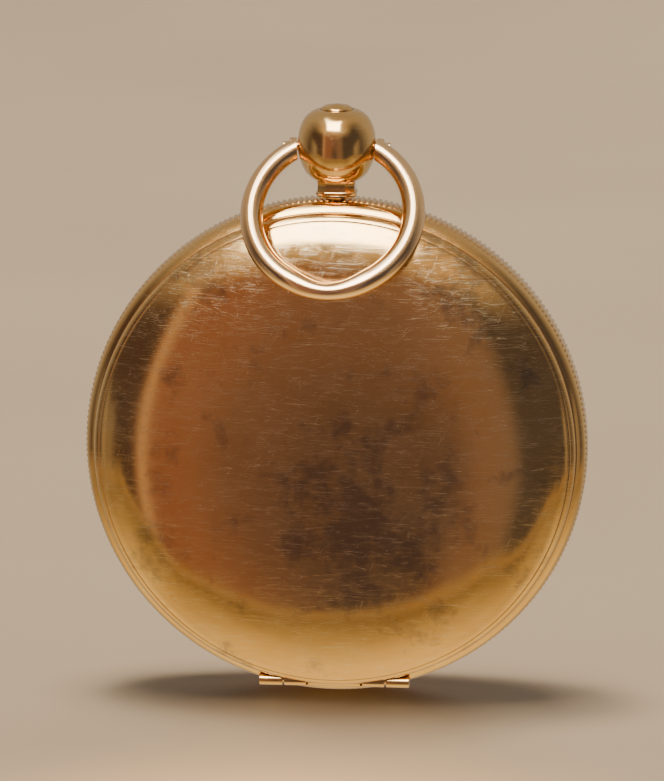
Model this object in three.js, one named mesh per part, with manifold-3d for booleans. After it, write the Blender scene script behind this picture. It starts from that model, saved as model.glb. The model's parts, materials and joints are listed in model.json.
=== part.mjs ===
// Open face pocket watch, standing on its rim: +Z towards the pendant, dial facing -Y, back facing +Y.
// Every round piece of the case and movement is drawn about the case axis (Y), with heights measured
// along Y from the middle of the band, and across the watch in X and Z. All lengths are in millimetres.
import * as THREE from "three";
import { mergeVertices } from "three/addons/utils/BufferGeometryUtils.js";
import Module from "manifold-3d";

const wasm = await Module();
wasm.setup();

// ---- driving dimensions ----
const CASE_R = 24; // over the reeded edge
const CASE_STEPS = 48; // facets round the case
const SHIFT_Y = -1.68; // puts the middle of the box over the origin
const HINGE_R = 0.65; // case hinge knuckles
const PIN_R = 0.25;
const PIN_HOLE_R = 0.3;
const HINGE_CUT_R = 0.75; // pocket that clears the knuckles
const BACK_HINGE_OUT = 22.7; // hinge axes from the case axis
const BACK_HINGE_Y = 2.65;
const BEZEL_HINGE_OUT = 22.4;
const BEZEL_HINGE_Y = -2.6;
const BALL_R = 3.7;
const BALL_Z = 28.85;
const BOW_TILT = THREE.MathUtils.degToRad(40); // from straight down, towards the back
const BOW_W = 7.65; // half width to the middle of the tube
const BOW_H = 8.09; // half height of the ring to the middle of the tube
const BOW_REACH = 7.33; // pivot to the middle of the ring
const PUSH_R = 1.5;
const PLATE_R = 20.4;
const TOP_PLATE_R = 19.1;
const PILLAR_LOW = -1.35; // inner face of the pillar plate
const PILLAR_HIGH = 1.25; // inner face of the top plate
const TOP_FACE = 1.95;
const DIAL_R = 20.3;

// Teeth and modules of each meshing pair: [wheel, pinion, module].
const BARREL_MESH = [48, 8, 0.2957];
const CENTER_MESH = [48, 6, 0.24];
const THIRD_MESH = [45, 6, 0.18667];
const FOURTH_MESH = [48, 6, 0.15907];
const MINUTE_MESH = [30, 10, 0.204];
const HOUR_MESH = [32, 8, 0.204];

// Arbor stations across the movement, [x, z] from the case axis.
const CENTER = [0, 0];
const BARREL = [5.0, 6.6];
const THIRD = [3.18, -5.65];
const FOURTH = [0, -9.2];
const ESCAPE = [-3.9, -7.4];
const PALLET = [-8.0, -4.6];
const BALANCE = [-9.2, 3.4];
const MINUTE_POST = [3.533, 2.04];
const COCK_FOOT = [-5.37, 12.42];
const CLICK_POST = [9.6, 10.0];
const PILLARS = [
  [14.6, -9.6],
  [-13.2, -11.4],
  [-14.6, 10.4],
  [12.9, 12.0],
];

// ---- solids ----

function solidOf(geometry) {
  const bare = geometry.index ? geometry.toNonIndexed() : geometry.clone();
  bare.deleteAttribute("normal");
  bare.deleteAttribute("uv");
  const merged = mergeVertices(bare, 1e-4);
  const index = merged.index.array;
  const kept = [];
  for (let i = 0; i < index.length; i += 3) {
    const [a, b, c] = [index[i], index[i + 1], index[i + 2]];
    if (a !== b && b !== c && a !== c) kept.push(a, b, c);
  }
  const build = (tri) =>
    new wasm.Manifold(
      new wasm.Mesh({
        numProp: 3,
        vertProperties: merged.attributes.position.array,
        triVerts: new Uint32Array(tri),
      }),
    );
  const made = build(kept);
  return made.volume() < 0 ? build(kept.reverse()) : made;
}

const points = (pairs) => pairs.map(([x, y]) => new THREE.Vector2(x, y));

// A solid of revolution about Y from [radius, height] pairs.
function turned(profile, steps = 24) {
  const closed = profile[0][0] === 0 ? profile : [...profile, profile[0]];
  return solidOf(new THREE.LatheGeometry(points(closed), steps));
}

function moved(solid, x, y, z) {
  return solid.translate([x, y, z]);
}

// A flat piece across the watch: outline in X and Z, thickness from y0 to y1.
function flat(outline, y0, y1, holes = []) {
  const shape = new THREE.Shape(points(outline));
  holes.forEach((h) => shape.holes.push(new THREE.Path(points(h))));
  const g = new THREE.ExtrudeGeometry(shape, { depth: y1 - y0, bevelEnabled: false });
  g.rotateX(Math.PI / 2);
  g.translate(0, y1, 0);
  return solidOf(g);
}

function circle(r, steps = 20, x = 0, z = 0, turn = 0) {
  return Array.from({ length: steps }, (_, i) => {
    const a = turn + (2 * Math.PI * i) / steps;
    return [x + r * Math.cos(a), z + r * Math.sin(a)];
  });
}

function disc(r, y0, y1, steps = 20, at = [0, 0]) {
  return flat(circle(r, steps, at[0], at[1]), y0, y1);
}

function box(x0, x1, y0, y1, z0, z1) {
  const g = new THREE.BoxGeometry(x1 - x0, y1 - y0, z1 - z0);
  g.translate((x0 + x1) / 2, (y0 + y1) / 2, (z0 + z1) / 2);
  return solidOf(g);
}

// Round bar along X or Z.
function barX(r, x0, x1, y, z, steps = 16) {
  const g = new THREE.CylinderGeometry(r, r, x1 - x0, steps);
  g.rotateZ(Math.PI / 2);
  g.translate((x0 + x1) / 2, y, z);
  return solidOf(g);
}

function barZ(r, z0, z1, x, y, steps = 16) {
  const g = new THREE.CylinderGeometry(r, r, z1 - z0, steps);
  g.rotateX(Math.PI / 2);
  g.translate(x, y, (z0 + z1) / 2);
  return solidOf(g);
}

// ---- toothed outlines ----

const heading = (from, to) => Math.atan2(to[1] - from[1], to[0] - from[0]);

// Wheel with pointed teeth; one tooth points along angle `aim`.
function wheelOutline(teeth, module, aim) {
  const pitch = (teeth * module) / 2;
  return Array.from({ length: 2 * teeth }, (_, i) => {
    const r = i % 2 ? pitch - 1.2 * module : pitch + 0.9 * module;
    const a = aim + (Math.PI * i) / teeth;
    return [r * Math.cos(a), r * Math.sin(a)];
  });
}

// Pinion with narrow leaves; one gap points along angle `aim`.
function pinionOutline(leaves, module, aim) {
  const pitch = (leaves * module) / 2;
  const step = (2 * Math.PI) / leaves;
  const outline = [];
  for (let i = 0; i < leaves; i++) {
    const middle = aim + (i + 0.5) * step;
    const corners = [
      [-0.2, pitch - 1.25 * module],
      [-0.09, pitch + 0.6 * module],
      [0.09, pitch + 0.6 * module],
      [0.2, pitch - 1.25 * module],
    ];
    for (const [share, r] of corners) {
      const a = middle + share * step;
      outline.push([r * Math.cos(a), r * Math.sin(a)]);
    }
  }
  return outline;
}

// Openings that leave a rim, a hub and straight arms.
function crossings(hub, rim, arms, armWidth, steps = 4, turn = 0) {
  return Array.from({ length: arms }, (_, k) => {
    const from = turn + (2 * Math.PI * k) / arms;
    const to = from + (2 * Math.PI) / arms;
    const half = (r) => Math.asin(armWidth / 2 / r);
    const arc = (r, a, b) =>
      Array.from({ length: steps + 1 }, (_, i) => {
        const t = a + ((b - a) * i) / steps;
        return [r * Math.cos(t), r * Math.sin(t)];
      });
    return [
      ...arc(rim, from + half(rim), to - half(rim)),
      ...arc(hub, to - half(hub), from + half(hub)),
    ];
  });
}

// Flat strip wound as a spiral from r0 to r1.
function spiral(r0, r1, turns, width, y0, y1, stepsPerTurn, start = 0) {
  const n = Math.round(turns * stepsPerTurn);
  const edge = (offset) =>
    Array.from({ length: n + 1 }, (_, i) => {
      const a = start + (2 * Math.PI * i) / stepsPerTurn;
      const r = r0 + ((r1 - r0) * i) / n + offset;
      return [r * Math.cos(a), r * Math.sin(a)];
    });
  return flat([...edge(width / 2), ...edge(-width / 2).reverse()], y0, y1);
}

// ---- materials ----

const metal = (colour, roughness) =>
  new THREE.MeshStandardMaterial({ color: colour, roughness, metalness: 1 });
const GOLD = metal(0xd9b25c, 0.22);
const ROSE_GOLD = metal(0xc88a5c, 0.28);
const GILT = metal(0xcda349, 0.4);
const STEEL = metal(0xb9bcc2, 0.28);
const BLUED = metal(0x24386b, 0.3);
const ENAMEL = new THREE.MeshStandardMaterial({ color: 0xf4f1e8, roughness: 0.25, metalness: 0 });
const GLASS = new THREE.MeshStandardMaterial({
  color: 0xe8eef0,
  roughness: 0.05,
  metalness: 0,
  transparent: true,
  opacity: 0.35,
});

const watch = new THREE.Group();
watch.name = "pocket_watch";
watch.position.set(0, SHIFT_Y, CASE_R);

function piece(name, solid, material) {
  const m = solid.getMesh();
  const position = new Float32Array(m.numVert * 3);
  for (let i = 0; i < m.numVert; i++) {
    position.set(m.vertProperties.subarray(i * m.numProp, i * m.numProp + 3), i * 3);
  }
  const g = new THREE.BufferGeometry();
  g.setAttribute("position", new THREE.BufferAttribute(position, 3));
  g.setIndex(new THREE.BufferAttribute(new Uint32Array(m.triVerts), 1));
  g.computeVertexNormals();
  const mesh = new THREE.Mesh(g, material);
  mesh.name = name;
  watch.add(mesh);
}

// ---- case ----

function caseBand() {
  const ring = turned(
    [
      [24.0, -1.4],
      [24.0, 1.4],
      [23.88, 1.5],
      [23.7, 1.95],
      [23.4, 2.3],
      [22.98, 2.6],
      [21.95, 2.6],
      [21.95, 3.1],
      [21.45, 3.1],
      [21.45, 2.1],
      [20.6, 2.1],
      [20.6, -0.7],
      [19.6, -0.7],
      [19.6, -1.3],
      [20.6, -1.3],
      [20.6, -3.0],
      [21.95, -3.0],
      [21.95, -2.5],
      [22.9, -2.5],
      [23.35, -2.1],
      [23.6, -1.5],
    ],
    CASE_STEPS,
  );
  const backPocket = barX(HINGE_CUT_R, -7.3, 7.3, BACK_HINGE_Y, -BACK_HINGE_OUT);
  const lipNotch = box(-2.6, 2.6, 2.45, 3.3, -23.6, -20.9);
  const bezelPocket = barZ(HINGE_CUT_R, -6.1, 6.1, -BEZEL_HINGE_OUT, BEZEL_HINGE_Y);
  const pushHole = barZ(0.7, 19, 25, 0, 0);
  let band = ring.subtract(backPocket).subtract(lipNotch).subtract(bezelPocket).subtract(pushHole);
  for (const side of [-1, 1]) {
    const [x0, x1] = side < 0 ? [-7.2, -5.0] : [5.0, 7.2];
    band = band
      .add(barX(HINGE_R, x0, x1, BACK_HINGE_Y, -BACK_HINGE_OUT))
      .add(box(x0, x1, 1.7, 2.3, -23.05, -22.1));
    const [z0, z1] = side < 0 ? [-6.0, -2.2] : [2.2, 6.0];
    band = band
      .add(barZ(HINGE_R, z0, z1, -BEZEL_HINGE_OUT, BEZEL_HINGE_Y))
      .add(box(-22.75, -21.8, -2.3, -1.7, z0, z1));
  }
  return band
    .subtract(barX(PIN_HOLE_R, -7.5, 7.5, BACK_HINGE_Y, -BACK_HINGE_OUT))
    .subtract(barZ(PIN_HOLE_R, -6.3, 6.3, -BEZEL_HINGE_OUT, BEZEL_HINGE_Y));
}

function backCover() {
  const shell = turned(
    [
      [0, 6.1],
      [10.0, 5.92],
      [16.0, 5.35],
      [19.5, 4.6],
      [21.2, 3.8],
      [22.05, 3.4],
      [22.05, 2.7],
      [22.98, 2.7],
      [22.98, 3.25],
      [22.8, 3.5],
      [22.4, 3.83],
      [21.9, 4.15],
      [20.9, 4.63],
      [19.0, 5.32],
      [16.0, 5.95],
      [11.0, 6.4],
      [3.2, 6.6],
      [0, 6.6],
    ],
    CASE_STEPS,
  );
  let cover = shell
    .subtract(barX(HINGE_CUT_R, -7.3, 7.3, BACK_HINGE_Y, -BACK_HINGE_OUT))
    .subtract(box(-2.6, 2.6, 2.6, 3.2, -23.2, -21.9));
  for (const [x0, x1] of [
    [-4.8, -2.7],
    [2.7, 4.8],
  ]) {
    cover = cover
      .add(barX(HINGE_R, x0, x1, BACK_HINGE_Y, -BACK_HINGE_OUT))
      .add(box(x0, x1, 3.1, 3.55, -22.75, -22.1));
  }
  return cover.subtract(barX(PIN_HOLE_R, -7.5, 7.5, BACK_HINGE_Y, -BACK_HINGE_OUT));
}

function innerDome() {
  const shell = turned(
    [
      [0, 4.0],
      [12.0, 3.85],
      [18.0, 3.35],
      [20.1, 2.7],
      [20.1, 2.15],
      [21.35, 2.15],
      [21.35, 2.7],
      [20.3, 3.1],
      [18.0, 3.75],
      [12.0, 4.25],
      [0, 4.4],
    ],
    CASE_STEPS,
  );
  return shell
    .subtract(disc(1.7, 3, 5, 20, BARREL))
    .subtract(disc(1.7, 3, 5, 20, CENTER))
    .add(barX(HINGE_R, -2.5, 2.5, BACK_HINGE_Y, -BACK_HINGE_OUT))
    .add(box(-2.5, 2.5, 2.55, 3.05, -22.7, -20.7))
    .subtract(barX(PIN_HOLE_R, -3, 3, BACK_HINGE_Y, -BACK_HINGE_OUT));
}

function bezel() {
  const ring = turned(
    [
      [22.05, -2.6],
      [22.85, -2.6],
      [22.85, -3.0],
      [22.45, -3.7],
      [21.7, -4.4],
      [20.8, -5.0],
      [20.1, -5.25],
      [19.85, -5.1],
      [19.85, -4.95],
      [20.7, -4.95],
      [20.7, -4.3],
      [21.2, -3.9],
      [22.05, -3.2],
    ],
    CASE_STEPS,
  );
  return ring
    .subtract(barZ(HINGE_CUT_R, -6.1, 6.1, -BEZEL_HINGE_OUT, BEZEL_HINGE_Y))
    .subtract(box(-24, -BEZEL_HINGE_OUT, -4, -2, -6.1, 6.1))
    .add(barZ(HINGE_R, -2.1, 2.1, -BEZEL_HINGE_OUT, BEZEL_HINGE_Y))
    .add(box(-22.5, -21.2, -3.55, -3.1, -2.1, 2.1))
    .subtract(barZ(PIN_HOLE_R, -3, 3, -BEZEL_HINGE_OUT, BEZEL_HINGE_Y));
}

function crystal() {
  return turned(
    [
      [0, -7.5],
      [7.5, -7.5],
      [13.0, -7.1],
      [17.3, -6.1],
      [19.7, -4.89],
      [20.6, -4.89],
      [20.6, -4.4],
      [19.3, -4.4],
      [17.0, -5.4],
      [13.0, -6.35],
      [7.5, -6.75],
      [0, -6.75],
    ],
    40,
  );
}

// ---- pendant, bow and push piece ----

function ball(r, steps, rings) {
  const profile = Array.from({ length: rings + 1 }, (_, i) => {
    const a = -Math.PI / 2 + (Math.PI * i) / rings;
    return [i === 0 || i === rings ? 0 : r * Math.cos(a), r * Math.sin(a)];
  });
  return turned(profile, steps).rotate([90, 0, 0]);
}

function pendant() {
  const neck = box(-1.75, 1.75, -1.6, 1.6, 24.3, 26.2);
  const step = box(-2.0, 2.0, -1.85, 1.85, 24.35, 24.75);
  const foot = barZ(1.9, 24.12, 24.4, 0, 0, 24);
  return moved(ball(BALL_R, 24, 12), 0, 0, BALL_Z)
    .add(neck)
    .add(step)
    .add(foot)
    .subtract(barZ(PUSH_R + 0.08, 28.4, 34, 0, 0, 20))
    .subtract(barZ(0.72, 23.9, 29, 0, 0))
    .subtract(barX(0.52, -5, 5, 0, BALL_Z, 12));
}

function pushPiece() {
  const cap = turned(
    [
      [0, 0],
      [PUSH_R, 0],
      [PUSH_R, 1.05],
      [1.2, 1.4],
      [0.7, 1.5],
      [0, 1.53],
    ],
    20,
  ).rotate([90, 0, 0]);
  return moved(cap, 0, 0, 31.4).add(barZ(0.6, 20.55, 31.6, 0, 0, 12));
}

// The bow lies in its own plane, pivot at the origin and ring hanging straight down, then tilts.
function bow() {
  const stations = 30;
  const centre = new THREE.Vector3(0, 0, -BOW_REACH);
  const gap = 0.39;
  const rings = [];
  for (let i = 0; i <= stations; i++) {
    const a = gap + ((2 * Math.PI - 2 * gap) * i) / stations;
    const away = Math.abs(i / stations - 0.5) * 2;
    const worn = Math.max(0, 1 - away / 0.2);
    const r = 1.08 - 0.1 * away ** 4 - 0.28 * worn;
    const out = new THREE.Vector3(Math.sin(a), 0, Math.cos(a));
    const middle = out
      .clone()
      .multiply(new THREE.Vector3(BOW_W, 0, BOW_H))
      .add(centre)
      .addScaledVector(out, 0.28 * worn);
    rings.push({ middle, out, r });
  }
  const sides = 10;
  const position = [];
  const ringPoints = rings.map(({ middle, out, r }) =>
    Array.from({ length: sides }, (_, k) => {
      const b = (2 * Math.PI * k) / sides;
      return middle
        .clone()
        .addScaledVector(out, r * Math.cos(b))
        .add(new THREE.Vector3(0, r * Math.sin(b), 0));
    }),
  );
  const face = (a, b, c) => position.push(...a.toArray(), ...b.toArray(), ...c.toArray());
  for (let i = 0; i < stations; i++) {
    for (let k = 0; k < sides; k++) {
      const n = (k + 1) % sides;
      const [p, q] = [ringPoints[i], ringPoints[i + 1]];
      face(p[k], q[k], q[n]);
      face(p[k], q[n], p[n]);
    }
  }
  for (let k = 1; k < sides - 1; k++) {
    face(ringPoints[0][0], ringPoints[0][k], ringPoints[0][k + 1]);
    const last = ringPoints[stations];
    face(last[0], last[k + 1], last[k]);
  }
  const g = new THREE.BufferGeometry();
  g.setAttribute("position", new THREE.Float32BufferAttribute(position, 3));
  const ends = barX(0.98, -4.9, -3.85, 0, 0, 16).add(barX(0.98, 3.85, 4.9, 0, 0, 16));
  const ballRoom = ball(BALL_R + 0.1, 24, 12);
  return solidOf(g)
    .add(ends)
    .subtract(ballRoom)
    .subtract(barX(0.47, -9, 9, 0, 0, 12))
    .rotate([THREE.MathUtils.radToDeg(BOW_TILT), 0, 0])
    .translate([0, 0, BALL_Z]);
}

function bowScrew(side) {
  const [x0, x1] = side < 0 ? [-5.2, -2.2] : [2.2, 5.2];
  return barX(0.4, x0, x1, 0, BALL_Z, 12);
}

// Curved strip inside the top of the band, pressed inwards by the push piece.
function lockSpring() {
  const arc = (r, a0, a1, n) =>
    Array.from({ length: n + 1 }, (_, i) => {
      const a = THREE.MathUtils.degToRad(a0 + ((a1 - a0) * i) / n);
      return [r * Math.cos(a), r * Math.sin(a)];
    });
  return flat([...arc(20.35, 48, 96, 16), ...arc(19.95, 96, 48, 16)], -0.5, 1.9);
}

// ---- dial side ----

function dial() {
  return turned(
    [
      [1.3, -3.6],
      [DIAL_R, -3.6],
      [DIAL_R, -4.15],
      [1.3, -4.2],
    ],
    40,
  ).subtract(disc(0.55, -5, -3, 14, FOURTH));
}

function dialRing() {
  return turned(
    [
      [18.9, -3.55],
      [20.3, -3.55],
      [20.3, -2.6],
      [18.9, -2.6],
    ],
    36,
  );
}

// Pointed hand along the clock direction `hour` (0..12), with a round boss.
function hand(length, width, tail, boss, y0, y1, hour, spadeAt = 0, spade = 0) {
  const half = width / 2;
  const outline = [
    [-half, -tail],
    [half, -tail],
    [half, spadeAt || length * 0.6],
  ];
  if (spade) {
    outline.push([spade, spadeAt + spade], [half * 0.8, spadeAt + 2.2 * spade]);
  }
  outline.push([0.08, length], [-0.08, length]);
  if (spade) {
    outline.push([-half * 0.8, spadeAt + 2.2 * spade], [-spade, spadeAt + spade]);
  }
  outline.push([-half, spadeAt || length * 0.6]);
  return flat(outline, y0, y1)
    .add(disc(boss, y0, y1, 18))
    .rotate([0, hour * 30, 0]);
}

function cannonPinion() {
  const tube = turned(
    [
      [0.42, -5.35],
      [0.42, -2.65],
      [0.7, -2.65],
      [0.62, -3.05],
      [0.62, -5.35],
    ],
    16,
  );
  const [, leafCount, module] = MINUTE_MESH;
  const leaves = flat(pinionOutline(leafCount, module, heading(CENTER, MINUTE_POST)), -3.05, -2.65, [
    circle(0.42, 16),
  ]);
  return tube.add(leaves);
}

function minuteWheel() {
  const wheel = flat(
    wheelOutline(MINUTE_MESH[0], MINUTE_MESH[2], heading(MINUTE_POST, CENTER)),
    -3.0,
    -2.75,
  );
  const leaves = pinionOutline(HOUR_MESH[1], HOUR_MESH[2], heading(MINUTE_POST, CENTER));
  const pinion = flat(leaves, -3.5, -2.9);
  return moved(wheel.add(pinion).subtract(disc(0.32, -4, -2, 14)), MINUTE_POST[0], 0, MINUTE_POST[1]);
}

function hourWheel() {
  const teeth = wheelOutline(HOUR_MESH[0], HOUR_MESH[2], heading(CENTER, MINUTE_POST));
  const wheel = flat(teeth, -3.45, -3.2);
  const pipe = disc(1.05, -4.85, -3.2, 20);
  return wheel.add(pipe).subtract(disc(0.72, -6, -2, 20));
}

// ---- plates ----

function pillarPlate() {
  const holes = [
    circle(0.45, 16, ...CENTER),
    circle(0.3, 12, ...THIRD),
    circle(0.3, 12, ...FOURTH),
    circle(0.25, 12, ...ESCAPE),
    circle(0.25, 12, ...PALLET),
    circle(0.25, 12, ...BALANCE),
    circle(0.75, 16, ...BARREL),
    ...PILLARS.map(([x, z]) => circle(0.52, 12, x, z)),
  ];
  const plate = flat(circle(PLATE_R, 40), -2.55, PILLAR_LOW, holes);
  return plate.add(disc(0.25, -3.55, -2.5, 12, MINUTE_POST));
}

function topPlate() {
  const holes = [
    circle(0.85, 16, ...CENTER),
    circle(0.3, 12, ...THIRD),
    circle(0.3, 12, ...FOURTH),
    circle(0.25, 12, ...ESCAPE),
    circle(0.25, 12, ...PALLET),
    circle(0.65, 16, ...BALANCE),
    circle(1.1, 16, ...BARREL),
    ...PILLARS.map(([x, z]) => circle(0.55, 12, x, z)),
    circle(0.45, 12, ...COCK_FOOT),
    circle(0.32, 12, ...CLICK_POST),
  ];
  return flat(circle(TOP_PLATE_R, 40), PILLAR_HIGH, TOP_FACE, holes);
}

function pillar([x, z]) {
  const post = turned(
    [
      [0, -2.2],
      [0.5, -2.2],
      [0.5, PILLAR_LOW + 0.04],
      [1.0, PILLAR_LOW + 0.04],
      [0.7, -0.6],
      [0.7, 0.5],
      [1.0, PILLAR_HIGH - 0.04],
      [0.35, PILLAR_HIGH - 0.04],
      [0.35, 0.4],
      [0, 0.4],
    ],
    10,
  );
  return moved(post, x, 0, z);
}

function screw(shaft, depth, head, top, seat) {
  const solid = turned(
    [
      [0, depth],
      [shaft, depth],
      [shaft, seat],
      [head, seat],
      [head, top - 0.06],
      [head - 0.08, top],
      [0, top],
    ],
    12,
  );
  return solid.subtract(box(-head - 0.2, head + 0.2, top - 0.14, top + 0.2, -0.09, 0.09));
}

// ---- going train ----

// Arbor with pivots; `body` lists the thicker stretches as [radius, y0, y1].
function arbor(pivot, y0, y1, body, steps = 10) {
  return body.reduce(
    (made, [r, a, b]) => made.add(disc(r, a, b, steps)),
    disc(pivot, y0, y1, steps),
  );
}

function barrel() {
  const drum = turned(
    [
      [1.15, -1.15],
      [6.5, -1.15],
      [6.5, 0.55],
      [6.1, 0.55],
      [6.1, -0.85],
      [1.15, -0.85],
    ],
    32,
  );
  const teeth = wheelOutline(BARREL_MESH[0], BARREL_MESH[2], heading(BARREL, CENTER));
  const ring = flat(teeth, -1.15, -0.75, [circle(6.3, 32)]);
  return moved(drum.add(ring), BARREL[0], 0, BARREL[1]);
}

function barrelCover() {
  return moved(flat(circle(6.0, 32), 0.3, 0.55, [circle(1.15, 16)]), BARREL[0], 0, BARREL[1]);
}

function barrelArbor() {
  const square = box(-0.72, 0.72, 1.9, 3.55, -0.72, 0.72);
  const made = arbor(0.7, -2.45, 2.0, [[1.05, -1.25, 1.9]], 18).add(square);
  return moved(made, BARREL[0], 0, BARREL[1]);
}

function mainspring() {
  return moved(spiral(1.35, 5.85, 4.0, 0.22, -0.78, 0.24, 14), BARREL[0], 0, BARREL[1]);
}

function ratchetOutline(teeth, tip, root) {
  const outline = [];
  for (let i = 0; i < teeth; i++) {
    const a = (2 * Math.PI * i) / teeth;
    const b = a + 0.04;
    outline.push([tip * Math.cos(a), tip * Math.sin(a)], [root * Math.cos(b), root * Math.sin(b)]);
  }
  return outline;
}

function ratchetWheel() {
  const hole = box(-0.77, 0.77, 1, 4, -0.77, 0.77);
  const wheel = flat(ratchetOutline(28, 3.3, 2.9), 2.05, 2.4).subtract(hole);
  return moved(wheel, BARREL[0], 0, BARREL[1]);
}

function click() {
  const toward = heading(CLICK_POST, BARREL);
  const reach = Math.hypot(CLICK_POST[0] - BARREL[0], CLICK_POST[1] - BARREL[1]) - 3.3 - 0.08;
  const outline = [
    [-0.9, -0.45],
    [reach - 0.5, -0.5],
    [reach, -0.1],
    [reach - 0.35, 0.3],
    [-0.9, 0.45],
  ];
  const lever = flat(outline, 2.05, 2.35)
    .add(disc(0.75, 2.05, 2.35, 16))
    .rotate([0, -THREE.MathUtils.radToDeg(toward), 0]);
  return moved(lever.add(disc(0.27, 1.3, 2.1, 12)), CLICK_POST[0], 0, CLICK_POST[1]);
}

function clickSpring() {
  const outline = [
    [12.6, 4.8],
    [13.1, 4.8],
    [12.7, 8.2],
    [11.2, 10.9],
    [10.95, 10.7],
    [12.35, 8.1],
  ];
  return flat(outline, 2.0, 2.3).add(disc(0.7, 2.0, 2.3, 14, [12.9, 4.5]));
}

function trainWheel([teeth, , module], y0, y1, aim, hubR, boreR, at) {
  const rim = (teeth * module) / 2 - 1.2 * module - 0.4;
  const solid = flat(wheelOutline(teeth, module, aim), y0, y1, [
    ...crossings(hubR, rim, 4, 0.5, 3),
    circle(boreR, 12),
  ]);
  return moved(solid, at[0], 0, at[1]);
}

function centerArbor() {
  const [, leafCount, module] = BARREL_MESH;
  const pinion = flat(pinionOutline(leafCount, module, heading(CENTER, BARREL)), -1.25, -0.65);
  const square = box(-0.5, 0.5, 1.2, 3.5, -0.5, 0.5);
  return arbor(0.38, -5.6, 1.3, [
    [0.55, -1.25, 0.7],
    [0.75, 0.6, 1.2],
  ], 16)
    .add(pinion)
    .add(square);
}

function pinionArbor([, leaves, module], at, aimAt, pinionY, ends, pivot, bodyR, bodyY, seatR, seatY) {
  const made = arbor(pivot, ends[0], ends[1], [
    [bodyR, bodyY[0], bodyY[1]],
    [seatR, seatY[0], seatY[1]],
  ]).add(flat(pinionOutline(leaves, module, heading(at, aimAt)), pinionY[0], pinionY[1]));
  return moved(made, at[0], 0, at[1]);
}

function escapeWheel() {
  const teeth = 15;
  const outline = [];
  for (let i = 0; i < teeth; i++) {
    const a = (2 * Math.PI * i) / teeth;
    for (const [r, shift] of [
      [2.6, 0],
      [2.6, 0.035],
      [2.0, 0.1],
      [1.95, 0.3],
    ]) {
      outline.push([r * Math.cos(a + shift), r * Math.sin(a + shift)]);
    }
  }
  const wheel = flat(outline, -0.4, -0.1, [...crossings(0.7, 1.7, 4, 0.35, 3), circle(0.41, 12)]);
  return moved(wheel, ESCAPE[0], 0, ESCAPE[1]);
}

// Lever from the pallet arbor to the balance, with two pallet arms reaching round the escape wheel.
function palletLever() {
  const toBalance = heading(PALLET, BALANCE);
  const toEscape = heading(PALLET, ESCAPE);
  const span = Math.hypot(BALANCE[0] - PALLET[0], BALANCE[1] - PALLET[1]);
  const away = Math.hypot(ESCAPE[0] - PALLET[0], ESCAPE[1] - PALLET[1]);
  const polar = (a, r, off) => [
    r * Math.cos(a) - off * Math.sin(a),
    r * Math.sin(a) + off * Math.cos(a),
  ];
  const tip = span - 1.1;
  const fork = [
    polar(toBalance, 0, -0.35),
    polar(toBalance, tip - 1.6, -0.2),
    polar(toBalance, tip - 0.7, -0.75),
    polar(toBalance, tip + 0.3, -0.85),
    polar(toBalance, tip + 0.12, -0.55),
    polar(toBalance, tip - 0.08, 0),
    polar(toBalance, tip + 0.12, 0.55),
    polar(toBalance, tip + 0.3, 0.85),
    polar(toBalance, tip - 0.7, 0.75),
    polar(toBalance, tip - 1.6, 0.2),
    polar(toBalance, 0, 0.35),
  ];
  let lever = flat(fork, -0.35, -0.12).add(disc(0.7, -0.35, -0.12, 16));
  for (const side of [-1, 1]) {
    const arm = [
      polar(toEscape, -0.2, 0.1 * side),
      polar(toEscape, 0.9, 2.0 * side),
      polar(toEscape, away - 2.45, 2.25 * side),
      polar(toEscape, away - 2.35, 1.8 * side),
      polar(toEscape, 1.7, 1.65 * side),
      polar(toEscape, 0.5, -0.1 * side),
    ];
    lever = lever.add(flat(side > 0 ? arm.reverse() : arm, -0.35, -0.12));
  }
  const round = moved(disc(2.72, -1, 1, 30), away * Math.cos(toEscape), 0, away * Math.sin(toEscape));
  return moved(lever.subtract(round).subtract(disc(0.3, -1, 1, 12)), PALLET[0], 0, PALLET[1]);
}

function balanceWheel() {
  const rim = flat(circle(7.2, 40), 2.1, 2.6, [circle(6.5, 40)]);
  const arms = flat(
    [
      [-6.7, -0.4],
      [6.7, -0.4],
      [6.7, 0.4],
      [-6.7, 0.4],
    ],
    2.15,
    2.4,
  ).add(disc(1.0, 2.15, 2.4, 20));
  const wheel = rim.add(arms.rotate([0, 20, 0])).subtract(disc(0.4, 1, 4, 14));
  return moved(wheel, BALANCE[0], 0, BALANCE[1]);
}

function balanceStaff() {
  return moved(
    arbor(0.18, -2.3, 3.3, [
      [0.34, -1.25, 2.85],
      [0.5, 1.97, 2.12],
    ]),
    BALANCE[0],
    0,
    BALANCE[1],
  );
}

function roller() {
  const toward = heading(BALANCE, PALLET);
  const pin = disc(0.12, -0.7, -0.05, 10, [0.88 * Math.cos(toward), 0.88 * Math.sin(toward)]);
  const table = flat(circle(1.2, 20), -0.85, -0.6, [circle(0.4, 14)]);
  return moved(table.add(pin), BALANCE[0], 0, BALANCE[1]);
}

function hairspring() {
  return moved(spiral(0.62, 3.0, 3.75, 0.13, 2.66, 2.82, 14, 0.6), BALANCE[0], 0, BALANCE[1]);
}

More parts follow.
